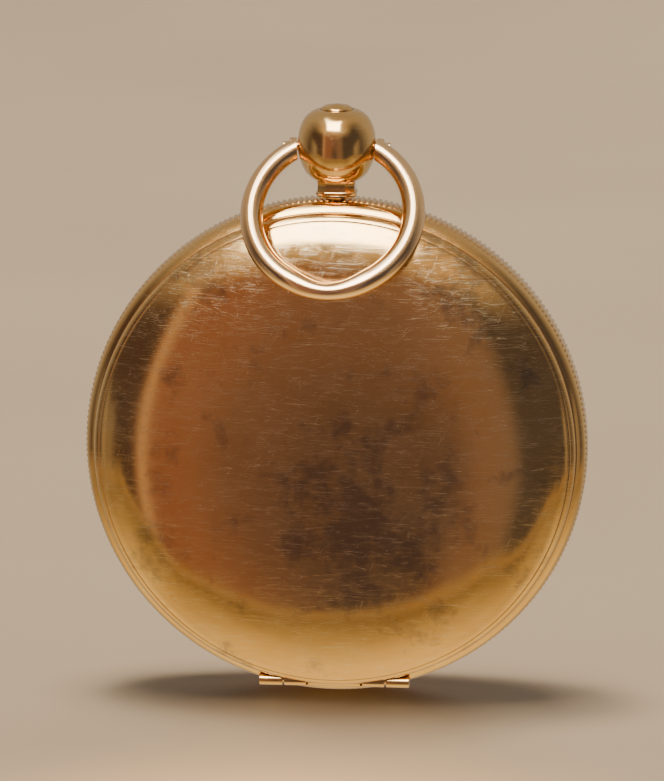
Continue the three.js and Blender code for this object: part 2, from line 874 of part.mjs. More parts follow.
function balanceCock() {
  const toward = heading(COCK_FOOT, BALANCE);
  const reach = Math.hypot(BALANCE[0] - COCK_FOOT[0], BALANCE[1] - COCK_FOOT[1]);
  const table = flat(
    [
      [-1.7, -1.5],
      [1.4, -1.6],
      [5.0, -1.1],
      [reach - 1.8, -1.7],
      [reach - 1.8, 1.7],
      [5.0, 1.1],
      [1.4, 1.6],
      [-1.7, 1.5],
    ],
    3.0,
    3.4,
  )
    .add(disc(2.3, 3.0, 3.4, 28, [reach, 0]))
    .add(disc(1.7, 3.0, 3.4, 20))
    .add(disc(1.7, 2.0, 3.1, 20))
    .subtract(disc(0.22, 2.5, 4, 12, [reach, 0]))
    .subtract(disc(0.45, 1, 4, 12))
    .rotate([0, -THREE.MathUtils.radToDeg(toward), 0]);
  return moved(table, COCK_FOOT[0], 0, COCK_FOOT[1]);
}

function regulator() {
  const outline = [
    [0, -0.25],
    [3.4, -0.12],
    [3.4, 0.12],
    [0, 0.25],
  ];
  const index = flat(outline, 3.45, 3.62)
    .add(disc(1.1, 3.45, 3.62, 20))
    .subtract(disc(0.4, 3, 4, 14))
    .rotate([0, 110, 0]);
  return moved(index, BALANCE[0], 0, BALANCE[1]);
}

// ---- the watch ----

piece("case_band", caseBand(), GOLD);
piece("pendant", pendant(), GOLD);
piece("bow", bow(), ROSE_GOLD);
piece("bow_screw_left", bowScrew(-1), ROSE_GOLD);
piece("bow_screw_right", bowScrew(1), ROSE_GOLD);
piece("push_piece", pushPiece(), GOLD);
piece("lock_spring", lockSpring(), STEEL);
piece("back_cover", backCover(), GOLD);
piece("back_hinge_pin", barX(PIN_R, -7.1, 7.1, BACK_HINGE_Y, -BACK_HINGE_OUT, 12), GOLD);
piece("inner_dome", innerDome(), GOLD);
piece("bezel", bezel(), GOLD);
piece("bezel_hinge_pin", barZ(PIN_R, -5.9, 5.9, -BEZEL_HINGE_OUT, BEZEL_HINGE_Y, 12), GOLD);
piece("crystal", crystal(), GLASS);

piece("dial", dial(), ENAMEL);
piece("dial_ring", dialRing(), GILT);
piece("hour_hand", hand(9.4, 0.5, 0.0, 1.3, -4.8, -4.62, 10.17, 6.0, 0.75).subtract(disc(1.08, -6, -4, 20)), BLUED);
piece("minute_hand", hand(15.2, 0.42, 0.0, 0.95, -5.3, -5.14, 2, 10.5, 0.65).subtract(disc(0.65, -6, -5, 16)), BLUED);
piece(
  "seconds_hand",
  moved(hand(3.3, 0.16, 1.1, 0.42, -4.62, -4.5, 6.5).subtract(disc(0.25, -6, -4, 12)), FOURTH[0], 0, FOURTH[1]),
  BLUED,
);
piece("cannon_pinion", cannonPinion(), STEEL);
piece("minute_wheel", minuteWheel(), GILT);
piece("hour_wheel", hourWheel(), GILT);

piece("pillar_plate", pillarPlate(), GILT);
piece("top_plate", topPlate(), GILT);
PILLARS.forEach((at, i) => {
  piece(`pillar_${i + 1}`, pillar(at), GILT);
  piece(`pillar_screw_${i + 1}`, moved(screw(0.3, 0.5, 0.8, 2.35, 2.0), at[0], 0, at[1]), BLUED);
});

piece("barrel", barrel(), GILT);
piece("barrel_cover", barrelCover(), GILT);
piece("barrel_arbor", barrelArbor(), STEEL);
piece("mainspring", mainspring(), BLUED);
piece("ratchet_wheel", ratchetWheel(), STEEL);
piece("click", click(), STEEL);
piece("click_spring", clickSpring(), STEEL);

piece("center_wheel", trainWheel(CENTER_MESH, 0.8, 1.02, heading(CENTER, THIRD), 1.3, 0.8, CENTER), GILT);
piece("center_arbor", centerArbor(), STEEL);
piece("third_wheel", trainWheel(THIRD_MESH, -0.95, -0.72, heading(THIRD, FOURTH), 0.9, 0.5, THIRD), GILT);
piece(
  "third_pinion",
  pinionArbor(CENTER_MESH, THIRD, CENTER, [0.68, 1.14], [-2.2, 1.9], 0.22, 0.34, [-1.2, 1.15], 0.46, [-1.1, -0.5]),
  STEEL,
);
piece("fourth_wheel", trainWheel(FOURTH_MESH, 0.2, 0.42, heading(FOURTH, ESCAPE), 0.9, 0.5, FOURTH), GILT);
piece(
  "fourth_pinion",
  pinionArbor(THIRD_MESH, FOURTH, THIRD, [-1.08, -0.58], [-4.7, 1.9], 0.2, 0.3, [-1.2, 1.15], 0.46, [-0.1, 0.6]),
  STEEL,
);
piece("escape_wheel", escapeWheel(), GILT);
piece(
  "escape_pinion",
  pinionArbor(FOURTH_MESH, ESCAPE, FOURTH, [0.08, 0.56], [-2.2, 1.9], 0.16, 0.2, [-1.2, 1.15], 0.37, [-0.6, 0.0]),
  STEEL,
);
piece("pallet_lever", palletLever(), STEEL);
piece(
  "pallet_arbor",
  moved(arbor(0.14, -2.2, 1.9, [[0.25, -1.2, 1.15]]), PALLET[0], 0, PALLET[1]),
  STEEL,
);
piece("balance_wheel", balanceWheel(), GILT);
piece("balance_staff", balanceStaff(), STEEL);
piece("roller", roller(), STEEL);
piece("hairspring", hairspring(), BLUED);
piece("balance_cock", balanceCock(), GILT);
piece("cock_screw", moved(screw(0.38, 1.4, 0.85, 3.66, 3.42), COCK_FOOT[0], 0, COCK_FOOT[1]), BLUED);
piece("regulator", regulator(), STEEL);

export default watch;
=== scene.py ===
# Open face pocket watch: its finished pieces, their materials, the studio and the camera.
# Lengths are in millimetres in the watch's own axes: x across, t from the band's middle towards the back,
# z up from the case's centre. place() turns them into the frame's axes, in metres.
import json
import math

import bmesh
import bpy
import numpy as np
from mathutils import Matrix, Vector, noise

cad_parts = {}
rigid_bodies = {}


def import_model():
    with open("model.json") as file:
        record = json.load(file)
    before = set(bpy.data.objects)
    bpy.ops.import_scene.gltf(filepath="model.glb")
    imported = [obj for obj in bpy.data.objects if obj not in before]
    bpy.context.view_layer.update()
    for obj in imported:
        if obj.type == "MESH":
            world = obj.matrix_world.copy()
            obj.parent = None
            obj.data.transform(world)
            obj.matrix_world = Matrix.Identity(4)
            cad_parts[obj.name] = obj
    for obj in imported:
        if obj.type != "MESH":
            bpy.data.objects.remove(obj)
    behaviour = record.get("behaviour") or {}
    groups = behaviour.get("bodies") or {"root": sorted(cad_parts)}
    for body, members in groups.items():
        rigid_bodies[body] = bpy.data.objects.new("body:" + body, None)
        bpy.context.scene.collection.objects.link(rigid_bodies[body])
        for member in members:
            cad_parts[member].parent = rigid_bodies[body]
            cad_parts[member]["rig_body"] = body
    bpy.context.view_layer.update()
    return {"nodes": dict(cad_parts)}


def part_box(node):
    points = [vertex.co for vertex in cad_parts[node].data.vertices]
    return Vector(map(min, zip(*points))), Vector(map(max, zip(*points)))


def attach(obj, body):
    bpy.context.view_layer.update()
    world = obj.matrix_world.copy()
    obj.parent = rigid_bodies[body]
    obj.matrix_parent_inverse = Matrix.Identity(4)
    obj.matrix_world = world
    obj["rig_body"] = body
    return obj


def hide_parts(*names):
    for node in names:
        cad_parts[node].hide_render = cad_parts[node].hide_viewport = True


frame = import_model()

MM = 0.001
CASE_R = 24.0
CRYSTAL_FRONT = 7.5
CREASE = 35  # degrees, sharper edges stay sharp
Y0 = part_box("crystal")[0].y + CRYSTAL_FRONT * MM
Z0 = CASE_R * MM

# Stations, in millimetres: the back's hinge axis is (t, z), the bezel's is (x, t), the rest are (x, z).
BACK_AXIS = (2.65, -22.7)
BEZEL_AXIS = (-22.4, -2.6)
BALL_Z = 28.85
BOW_TILT = math.radians(40)
BARREL = (5.0, 6.6)
CENTER = (0.0, 0.0)
FOURTH = (0.0, -9.2)
THIRD = (3.18, -5.65)
ESCAPE = (-3.9, -7.4)
PALLET = (-8.0, -4.6)
BALANCE = (-9.2, 3.4)
COCK_FOOT = (-5.37, 12.42)
CLICK_POST = (9.6, 10.0)
PILLARS = ((14.6, -9.6), (-13.2, -11.4), (-14.6, 10.4), (12.9, 12.0))

# Sizes that repeat: radii of a hinge knuckle, its hole and its pocket, and of the push piece's bore.
KNUCKLE, PIN_HOLE, POCKET = 0.57, 0.3, 0.75
PUSH_BORE = 0.7
REEDS = 276


def place(x, t, z):
    return (x * MM, Y0 + t * MM, Z0 + z * MM)


# ---------------------------------------------------------------- meshes


def linked(name, data):
    """New object in the scene holding `data`."""
    obj = bpy.data.objects.new(name, data)
    bpy.context.scene.collection.objects.link(obj)
    return obj


def shade(mesh, sharp=CREASE):
    mesh.shade_smooth()
    mesh.set_sharp_from_angle(angle=math.radians(sharp))


def make(name, verts, faces, smooth=True, sharp=CREASE):
    """Mesh object from watch coordinates, in millimetres."""
    mesh = bpy.data.meshes.new(name)
    mesh.from_pydata([place(*v) for v in verts], [], faces)
    bm = bmesh.new()
    bm.from_mesh(mesh)
    bmesh.ops.remove_doubles(bm, verts=bm.verts, dist=1e-8)
    bmesh.ops.recalc_face_normals(bm, faces=bm.faces)
    bm.to_mesh(mesh)
    bm.free()
    if smooth:
        shade(mesh, sharp)
    return linked(name, mesh)


def rounded(points, radius, steps=3, closed=True):
    """The polyline with each corner eased over `radius`."""
    n = len(points)
    out = []
    for i, p in enumerate(points):
        if not closed and i in (0, n - 1):
            out.append(tuple(p))
            continue
        p = Vector(p)
        a, b = Vector(points[i - 1]) - p, Vector(points[(i + 1) % n]) - p
        da, db = min(radius, a.length * 0.45), min(radius, b.length * 0.45)
        start, end = p + a.normalized() * da, p + b.normalized() * db
        for k in range(steps + 1):
            s = k / steps
            out.append(tuple((1 - s) ** 2 * start + 2 * s * (1 - s) * p + s * s * end))
    return out


def curve_through(points, per=6):
    """Catmull-Rom points through a list."""
    pts = [Vector(p) for p in points]
    pts = [pts[0] * 2 - pts[1], *pts, pts[-1] * 2 - pts[-2]]
    out = []
    for i in range(1, len(pts) - 2):
        a, b, c, d = pts[i - 1 : i + 3]
        for k in range(per):
            s = k / per
            p = 2 * b + (c - a) * s + (2 * a - 5 * b + 4 * c - d) * s * s
            out.append(tuple(0.5 * (p + (3 * b - a - 3 * c + d) * s**3)))
    out.append(tuple(pts[-2]))
    return out


def quads(rows, steps, closed=False):
    """Faces between rows of `steps` points; `closed` also joins the last row to the first."""
    faces = []
    for i in range(rows if closed else rows - 1):
        j = (i + 1) % rows
        for k in range(steps):
            n = (k + 1) % steps
            faces.append((i * steps + k, i * steps + n, j * steps + n, j * steps + k))
    return faces


def ends(rows, steps):
    """Flat faces over the first and the last row."""
    return [tuple(range(steps)), tuple((rows - 1) * steps + k for k in range(steps))]


def lathe(name, profile, steps=240, at=(0, 0), shape=None):
    """Profile of (radius, t) turned about the case axis or the arbor at `at`.

    A profile that starts and ends on the axis is capped there, any other is closed on itself. `shape` moves
    a point (x, t, z).
    """
    capped = profile[0][0] < 1e-6
    rows = profile[1:-1] if capped else profile
    verts = []
    for r, t in rows:
        for k in range(steps):
            a = 2 * math.pi * k / steps
            verts.append((at[0] + r * math.sin(a), t, at[1] + r * math.cos(a)))
    m = len(rows)
    faces = quads(m, steps, closed=not capped)
    if capped:
        first, second = len(verts), len(verts) + 1
        verts += [(at[0], profile[0][1], at[1]), (at[0], profile[-1][1], at[1])]
        for k in range(steps):
            n = (k + 1) % steps
            faces.append((first, n, k))
            faces.append((second, (m - 1) * steps + k, (m - 1) * steps + n))
    if shape:
        verts = [shape(*v) for v in verts]
    return make(name, verts, faces)


def bar(name, start, end, radius, sides=40, bore=0.0, ease=0.06):
    """Round bar or tube between two points, with eased ends."""
    a, b = Vector(start), Vector(end)
    length = (b - a).length
    turn = Vector((0, 0, 1)).rotation_difference(b - a)
    rim = [(radius, 0), (radius, length)]
    if bore:
        rows = rounded([*rim, (bore, length), (bore, 0)], ease)
    else:
        rows = rounded([(0, 0), *rim, (0, length)], ease, closed=False)[1:-1]
    verts = []
    for r, h in rows:
        for k in range(sides):
            c = 2 * math.pi * k / sides
            verts.append(tuple(a + turn @ Vector((r * math.cos(c), r * math.sin(c), h))))
    faces = quads(len(rows), sides, closed=bool(bore))
    if not bore:
        faces += ends(len(rows), sides)
    return make(name, verts, faces)


def applied(obj):
    """New mesh of the object with its modifiers applied."""
    bpy.context.view_layer.update()
    return bpy.data.meshes.new_from_object(obj.evaluated_get(bpy.context.evaluated_depsgraph_get()))


def slab(name, outline, t0, t1, holes=(), ease=0.03):
    """Flat piece from an outline in (x, z), t0 to t1 thick, with holes and eased edges."""
    data = bpy.data.curves.new(name, "CURVE")
    data.dimensions = "2D"
    data.fill_mode = "BOTH"
    data.extrude = (t1 - t0) / 2 - ease
    data.bevel_depth = ease
    data.bevel_resolution = 1
    data.offset = -ease
    for loop in (outline, *holes):
        line = data.splines.new("POLY")
        line.points.add(len(loop) - 1)
        for p, (x, z) in zip(line.points, loop):
            p.co = (x, z, 0, 1)
        line.use_cyclic_u = True
    obj = linked(name, data)
    flat = applied(obj)
    bpy.data.objects.remove(obj)
    middle = (t0 + t1) / 2
    verts = [(v.co.x, middle - v.co.z, v.co.y) for v in flat.vertices]
    faces = [tuple(p.vertices) for p in flat.polygons]
    bpy.data.meshes.remove(flat)
    return make(name, verts, faces)


def polar(at, r, a):
    return (at[0] + r * math.cos(a), at[1] + r * math.sin(a))


def ring_of(r, steps=64, at=(0, 0)):
    return [polar(at, r, 2 * math.pi * k / steps) for k in range(steps)]


def boolean(obj, other, how="DIFFERENCE"):
    """Applies a boolean with `other`, which is then removed."""
    mod = obj.modifiers.new("cut", "BOOLEAN")
    mod.operation = how
    mod.solver = "EXACT"
    mod.object = other
    made = applied(obj)
    obj.modifiers.clear()
    old, obj.data = obj.data, made
    bpy.data.meshes.remove(old)
    bpy.data.objects.remove(other)
    shade(obj.data)


def joined(name, objs):
    """One object holding the meshes of several."""
    bm = bmesh.new()
    for o in objs:
        bm.from_mesh(o.data)
    mesh = bpy.data.meshes.new(name)
    bm.to_mesh(mesh)
    bm.free()
    for o in objs:
        bpy.data.objects.remove(o)
    shade(mesh)
    return linked(name, mesh)


def block(name, x0, x1, t0, t1, z0, z1, ease=0.06):
    """Box with eased edges."""
    verts = [(x, t, z) for x in (x0, x1) for t in (t0, t1) for z in (z0, z1)]
    faces = [(0, 1, 3, 2), (4, 6, 7, 5), (0, 4, 5, 1), (2, 3, 7, 6), (0, 2, 6, 4), (1, 5, 7, 3)]
    obj = make(name, verts, faces)
    if ease:
        bm = bmesh.new()
        bm.from_mesh(obj.data)
        bmesh.ops.bevel(bm, geom=bm.edges[:], offset=ease * MM, segments=2, affect="EDGES")
        bm.to_mesh(obj.data)
        bm.free()
        shade(obj.data, 50)
    return obj


# ---------------------------------------------------------------- materials


class Nodes:
    """Short names for building a node tree."""

    def __init__(self, tree):
        self.tree = tree
        self.tree.nodes.clear()

    def add(self, kind, **settings):
        node = self.tree.nodes.new(kind)
        for key, value in settings.items():
            setattr(node, key, value)
        return node

    def set(self, node, **inputs):
        for key, value in inputs.items():
            self.feed(node.inputs[key.replace("_", " ")], value)
        return node

    def feed(self, socket, value):
        """Links a socket, or gives it a value; a colour of three parts gets full alpha."""
        if isinstance(value, bpy.types.NodeSocket):
            self.tree.links.new(value, socket)
        elif isinstance(value, tuple) and socket.type == "RGBA":
            socket.default_value = (*value, 1)[:4]
        else:
            socket.default_value = value

    def math(self, how, a, b=None, clamp=False):
        node = self.add("ShaderNodeMath", operation=how, use_clamp=clamp)
        self.feed(node.inputs[0], a)
        if b is not None:
            self.feed(node.inputs[1], b)
        return node.outputs[0]

    def both(self, *shares):
        """Product of several shares."""
        made = shares[0]
        for share in shares[1:]:
            made = self.math("MULTIPLY", made, share)
        return made

    def mix(self, share, a, b):
        node = self.add("ShaderNodeMix", data_type="RGBA")
        for i, value in ((0, share), (6, a), (7, b)):
            self.feed(node.inputs[i], value)
        return node.outputs[2]

    def between(self, value, low, high, out_low=0.0, out_high=1.0):
        node = self.add("ShaderNodeMapRange", clamp=True)
        self.set(node, Value=value, From_Min=low, From_Max=high, To_Min=out_low, To_Max=out_high)
        return node.outputs["Result"]

    def coords(self):
        return self.add("ShaderNodeTexCoord").outputs["Object"]

    def moved(self, vector, turn=(0, 0, 0), scale=(1, 1, 1), shift=(0, 0, 0)):
        node = self.add("ShaderNodeMapping")
        self.set(node, Vector=vector, Rotation=turn, Scale=scale, Location=shift)
        return node.outputs["Vector"]

    def noise(self, vector, scale, detail=2.0, rough=0.5):
        node = self.add("ShaderNodeTexNoise")
        self.set(node, Vector=vector, Scale=scale, Detail=detail, Roughness=rough)
        return node.outputs[0]

    def hairlines(self, vector, angle, across, along, width, cover, seed):
        """Fine broken scratches in the plane of the back, running at `angle` to x."""
        turned = self.moved(vector, turn=(0, angle, 0))
        spread = self.moved(turned, scale=(along, 60.0, across), shift=(seed, seed * 0.7, seed * 1.3))
        line = self.noise(spread, 1.0, 1.0)
        near = self.math("ABSOLUTE", self.math("SUBTRACT", line, 0.5))
        thin = self.math("SUBTRACT", 1.0, self.math("DIVIDE", near, width), clamp=True)
        shifted = self.moved(turned, shift=(seed * 0.01, 0.02, 0.03), scale=(1, 1, 3))
        patches = self.noise(shifted, 480.0, 2.0)
        return self.math("MULTIPLY", thin, self.between(patches, cover, cover + 0.08))


def material(name):
    mat = bpy.data.materials.new(name)
    mat.use_nodes = True
    return mat, Nodes(mat.node_tree)


def finish_metal(n, colour, rough, height=None, strength=0.2, metallic=1.0, distance=0.00002):
    bsdf = n.add("ShaderNodeBsdfPrincipled")
    n.set(bsdf, Base_Color=colour, Roughness=rough, Metallic=metallic)
    if height is not None:
        bump = n.add("ShaderNodeBump")
        n.set(bump, Height=height, Strength=strength, Distance=distance)
        n.set(bsdf, Normal=bump.outputs[0])
    out = n.add("ShaderNodeOutputMaterial")
    n.set(out, Surface=bsdf.outputs[0])
    return bsdf


GOLD = (0.84, 0.56, 0.235)
GOLD_DEEP = (0.78, 0.47, 0.17)
ROSE = (0.95, 0.66, 0.37)
ROSE_DEEP = (0.90, 0.58, 0.29)
# Paler colour for the hairline scratches: a painted glint, not the gold's own colour.
SCRATCH_GLINT = (1.0, 0.86, 0.58)
TARNISHED = (0.33, 0.23, 0.14)
TARNISH_AT = (-3.4, 6.3, -6.4)
# Each layer of hairlines: angle, fineness across and along, width, bare share.
HAIRLINES = (
    (0.04, 11000.0, 90.0, 0.014, 0.45),
    (-0.10, 8500.0, 80.0, 0.011, 0.47),
    (0.30, 8500.0, 90.0, 0.009, 0.51),
    (-0.8, 9000.0, 110.0, 0.007, 0.57),
    (1.9, 8500.0, 110.0, 0.007, 0.58),
)


def polished_gold(name, base, deep, rough, scratch_and_glint, tarnish=False):
    """Polished gold with clouding, hairline scratches at several angles (real wear in their roughness and
    bump, a painted glint in their paler colour), a rubbed grain and blotches of tarnish.
    """
    mat, n = material(name)
    v = n.coords()
    cloud = n.noise(v, 90.0, 4.0, 0.6)
    fine = n.noise(v, 2600.0, 2.0)
    lines = None
    for i, hairline in enumerate(HAIRLINES):
        layer = n.hairlines(v, *hairline, 3.1 + 7.7 * i)
        lines = layer if lines is None else n.math("MAXIMUM", lines, layer)
    lines = n.math("MULTIPLY", lines, scratch_and_glint)
    colour = n.mix(n.between(cloud, 0.35, 0.7), deep, base)
    worn = n.between(fine, 0.35, 0.7, 0.0, 0.04)
    smooth = n.math("ADD", n.between(cloud, 0.3, 0.7, rough - 0.03, rough + 0.03), worn)
    if tarnish:
        blotch = n.noise(v, 210.0, 9.0, 0.68)
        near = n.add("ShaderNodeVectorMath", operation="DISTANCE")
        n.feed(near.inputs[0], v)
        n.feed(near.inputs[1], place(*TARNISH_AT))
        zone = n.between(near.outputs["Value"], 0.013, 0.002, 0.0, 0.14)
        stain = n.between(n.math("ADD", blotch, zone), 0.55, 0.66)
        colour = n.mix(n.math("MULTIPLY", stain, 0.62), colour, TARNISHED)
    # Painted glint: the hairline scratches are painted paler than the gold. Their added roughness and bump
    # below are real wear.
    colour = n.mix(n.math("MULTIPLY", lines, 0.7), colour, SCRATCH_GLINT)
    roughness = n.math("ADD", smooth, n.math("MULTIPLY", lines, 0.24))
    height = n.math("ADD", n.math("MULTIPLY", fine, 0.2), lines)
    finish_metal(n, colour, roughness, height, 0.12, distance=0.00001)
    return mat


def gilding(name, base, grain=2600.0, rough=0.36):
    """Matt gilding with a fine grain."""
    mat, n = material(name)
    v = n.coords()
    speck = n.noise(v, grain, 2.0)
    cloud = n.noise(v, 160.0, 3.0)
    deep = tuple(c * 0.82 for c in base)
    colour = n.mix(n.between(cloud, 0.3, 0.7), deep, base)
    roughness = n.between(speck, 0.3, 0.7, rough - 0.08, rough + 0.1)
    finish_metal(n, colour, roughness, speck, 0.25, distance=0.00001)
    return mat


def steel(name, base, rough=0.2, across=7000.0):
    """Steel with a fine straight grain."""
    mat, n = material(name)
    v = n.coords()
    grain = n.noise(n.moved(v, turn=(0, 0.6, 0), scale=(60.0, across, across)), 1.0, 2.0)
    cloud = n.noise(v, 220.0, 2.0)
    colour = n.mix(n.between(cloud, 0.3, 0.7), tuple(c * 0.86 for c in base), base)
    roughness = n.between(grain, 0.3, 0.7, rough - 0.05, rough + 0.08)
    finish_metal(n, colour, roughness, grain, 0.12, distance=0.000005)
    return mat


def enamel():
    """White enamel with a soft mottle."""
    mat, n = material("enamel_white")
    v = n.coords()
    cloud = n.noise(v, 260.0, 3.0)
    colour = n.mix(n.between(cloud, 0.3, 0.7), (0.80, 0.775, 0.70), (0.86, 0.84, 0.78))
    bsdf = finish_metal(n, colour, n.between(cloud, 0.3, 0.7, 0.06, 0.12), cloud, 0.03, 0.0)
    n.set(bsdf, Coat_Weight=0.5, Coat_Roughness=0.04)
    return mat


def paint(name, base):
    """Fired black or blue painting on enamel."""
    mat, n = material(name)
    v = n.coords()
    cloud = n.noise(v, 1500.0, 2.0)
    colour = n.mix(cloud, base, tuple(c * 2.2 + 0.004 for c in base))
    finish_metal(n, colour, n.between(cloud, 0.3, 0.7, 0.18, 0.3), cloud, 0.05, 0.0)
    return mat


def clear_glass():
    """Old domed glass with the faintest wear."""
    mat, n = material("clear_glass")
    v = n.coords()
    wear = n.hairlines(v, 0.5, 3000.0, 200.0, 0.008, 0.56, 11.0)
    veil = n.add("ShaderNodeBsdfTransparent")
    n.set(veil, Color=(0.93, 0.95, 0.95))
    gloss = n.add("ShaderNodeBsdfGlossy")
    n.set(gloss, Color=(1, 1, 1), Roughness=n.between(wear, 0.0, 1.0, 0.02, 0.2))
    fresnel = n.add("ShaderNodeFresnel")
    n.set(fresnel, IOR=1.45)
    mixed = n.add("ShaderNodeMixShader")
    for i, part in enumerate((fresnel, veil, gloss)):
        n.feed(mixed.inputs[i], part.outputs[0])
    out = n.add("ShaderNodeOutputMaterial")
    n.set(out, Surface=mixed.outputs[0])
    return mat


MATS = {
    "back": polished_gold("gold_back", GOLD, GOLD_DEEP, 0.10, 1.0, tarnish=True),
    "case": polished_gold("gold_case", GOLD, GOLD_DEEP, 0.12, 0.5),
    "inside": polished_gold("gold_inside", GOLD, GOLD_DEEP, 0.16, 0.3),
    "bow": polished_gold("gold_rose", ROSE, ROSE_DEEP, 0.13, 0.4),
    "gilt": gilding("gilt_matt", (0.80, 0.58, 0.24)),
    "steel": steel("steel_polished", (0.62, 0.63, 0.66), 0.16),
    "blued": steel("steel_blued", (0.03, 0.06, 0.30), 0.2),
    "enamel": enamel(),
    "ink": paint("ink_black", (0.006, 0.006, 0.008)),
    "glass": clear_glass(),
}


def dress(obj, mat, body, slot, *replaces):
    """Gives a piece its material, the body it rides on and the nodes it stands for; `slot` is not used."""
    obj.data.materials.clear()
    obj.data.materials.append(MATS[mat])
    level = obj.modifiers.new("level", "WEIGHTED_NORMAL")
    level.keep_sharp = True
    level.weight = 100
    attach(obj, body)
    if replaces:
        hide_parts(*replaces)


# ---------------------------------------------------------------- case


def bar_x(x0, x1, t, z, r, **more):
    """Bar along x at (t, z)."""
    return bar("bar", (x0, t, z), (x1, t, z), r, **more)


def bar_z(x, t, z0, z1, r, **more):
    """Bar along z at (x, t)."""
    return bar("bar", (x, t, z0), (x, t, z1), r, **more)


def knuckle(name, start, end):
    """Hinge knuckle with its pin hole."""
    return bar(name, start, end, KNUCKLE, sides=48, bore=PIN_HOLE, ease=0.05)


def band():
    """Moulded band with its hinge pockets and knuckles."""
    profile = [
        (23.3, 1.38), (23.72, 1.38), (23.86, 1.5), (23.84, 1.68), (23.74, 1.92), (23.58, 2.14),
        (23.38, 2.34), (23.14, 2.51), (22.98, 2.6), (21.95, 2.6), (21.95, 3.1), (21.45, 3.1),
        (21.45, 2.1), (20.6, 2.1), (20.6, -0.7), (19.6, -0.7), (19.6, -1.3), (20.6, -1.3), (20.6, -3.0),
        (21.95, -3.0), (21.95, -2.5), (22.9, -2.5), (23.14, -2.38), (23.36, -2.1), (23.5, -1.8),
        (23.62, -1.5), (23.6, -1.38), (23.3, -1.38),
    ]
    body = lathe("band_body", rounded(profile, 0.07, 2), 288)
    (bt, bz), (ex, et) = BACK_AXIS, BEZEL_AXIS
    boolean(body, bar_x(-7.3, 7.3, bt, bz, POCKET, ease=0.01))
    boolean(body, block("cut", -2.6, 2.6, 2.45, 3.3, -23.6, -20.9, 0))
    boolean(body, bar_z(ex, et, -6.1, 6.1, POCKET, ease=0.01))
    boolean(body, bar_z(0, 0, 19, 25, PUSH_BORE, ease=0.01))
    parts = [body]
    for x0, x1 in ((-7.2, -5.0), (5.0, 7.2)):
        parts.append(knuckle("k", (x0, bt, bz), (x1, bt, bz)))
        parts.append(block("web", x0 + 0.02, x1 - 0.02, 1.7, 2.3, -23.05, -22.1, 0.04))
    for z0, z1 in ((-6.0, -2.2), (2.2, 6.0)):
        parts.append(knuckle("k", (ex, et, z0), (ex, et, z1)))
        parts.append(block("web", -22.75, -21.8, -2.3, -1.7, z0 + 0.02, z1 - 0.02, 0.04))
    dress(joined("case_band_body", parts), "case", "case", "gold_yellow", "case_band")


def reeding():
    """Ring of rounded reeds round the middle of the band, as rows of (radius, t, depth of the grooves)."""
    per = 6
    rows = [
        (23.25, -1.36, 0.0), (23.6, -1.37, 0.0), (23.86, -1.34, 0.55), (23.97, -1.24, 0.9),
        (24.0, -1.0, 1.0), (24.0, 0.0, 1.0), (24.0, 1.0, 1.0), (23.97, 1.24, 0.9), (23.86, 1.34, 0.55),
        (23.6, 1.37, 0.0), (23.25, 1.36, 0.0),
    ]
    steps = REEDS * per
    verts = []
    for r, t, depth in rows:
        for k in range(steps):
            a = 2 * math.pi * k / steps
            across = abs(2 * ((k % per) / per) - 1)
            rr = r - 0.27 * depth * across**2.2
            verts.append((rr * math.sin(a), t, rr * math.cos(a)))
    obj = make("band_reeding", verts, quads(len(rows), steps, closed=True), sharp=60)
    boolean(obj, bar_z(0, 0, 22, 25, PUSH_BORE, ease=0.01))
    dress(obj, "case", "case", "gold_yellow")


def dome_height(r):
    """Outer surface of the back, t at radius r."""
    return 6.6 - 0.00118 * r * r - 0.855 * (r / 19.0) ** 5.6


def back_cover():
    """Domed back with a rolled edge, closed over the hinge."""
    outer = [(0, dome_height(0))]
    outer += [(r, dome_height(r)) for r in np.linspace(0.8, 21.7, 46)]
    outer += [
        (21.95, 4.13), (22.2, 3.98), (22.31, 3.9), (22.36, 3.84), (22.42, 3.83), (22.5, 3.79),
        (22.66, 3.66), (22.8, 3.5), (22.9, 3.36), (22.96, 3.2), (22.98, 3.0), (22.97, 2.8), (22.9, 2.7),
    ]
    inner = [(22.05, 3.4), (21.2, 3.8), (19.5, 4.6), (16.0, 5.35), (10.0, 5.92)]
    profile = outer + [(22.05, 2.7), *inner, (0, 6.1)]

    def shape(x, t, z):
        r = math.hypot(x, z)
        if t < 4.3 or t < dome_height(r) - 0.1 or r > 20.7:
            return x, t, z
        wave = noise.noise(Vector((x * 0.11, z * 0.11, 1.7))) * 0.6
        wave += noise.noise(Vector((x * 0.23, z * 0.23, 5.1))) * 0.25
        fade = min(1.0, (20.7 - r) / 3.0)
        return x, t - 0.022 * max(0.0, wave + 0.5) * fade, z

    shell = lathe("back_shell", profile, 320, shape=shape)
    bt, bz = BACK_AXIS
    boolean(shell, bar_x(-7.3, 7.3, bt, bz, POCKET, ease=0.01))
    boolean(shell, block("cut", -2.6, 2.6, 2.6, 3.2, -23.2, -21.9, 0))
    parts = [shell]
    for x0, x1 in ((-4.8, -2.7), (2.7, 4.8)):
        parts.append(knuckle("k", (x0, bt, bz), (x1, bt, bz)))
        parts.append(block("web", x0 + 0.02, x1 - 0.02, 3.1, 3.5, -22.75, -22.15, 0.04))
    dress(joined("back_cover_shell", parts), "back", "back", "gold_yellow", "back_cover")


def pin(name, start, end, node):
    dress(bar(name, start, end, 0.25, sides=32, ease=0.05), "case", "case", "gold_yellow", node)


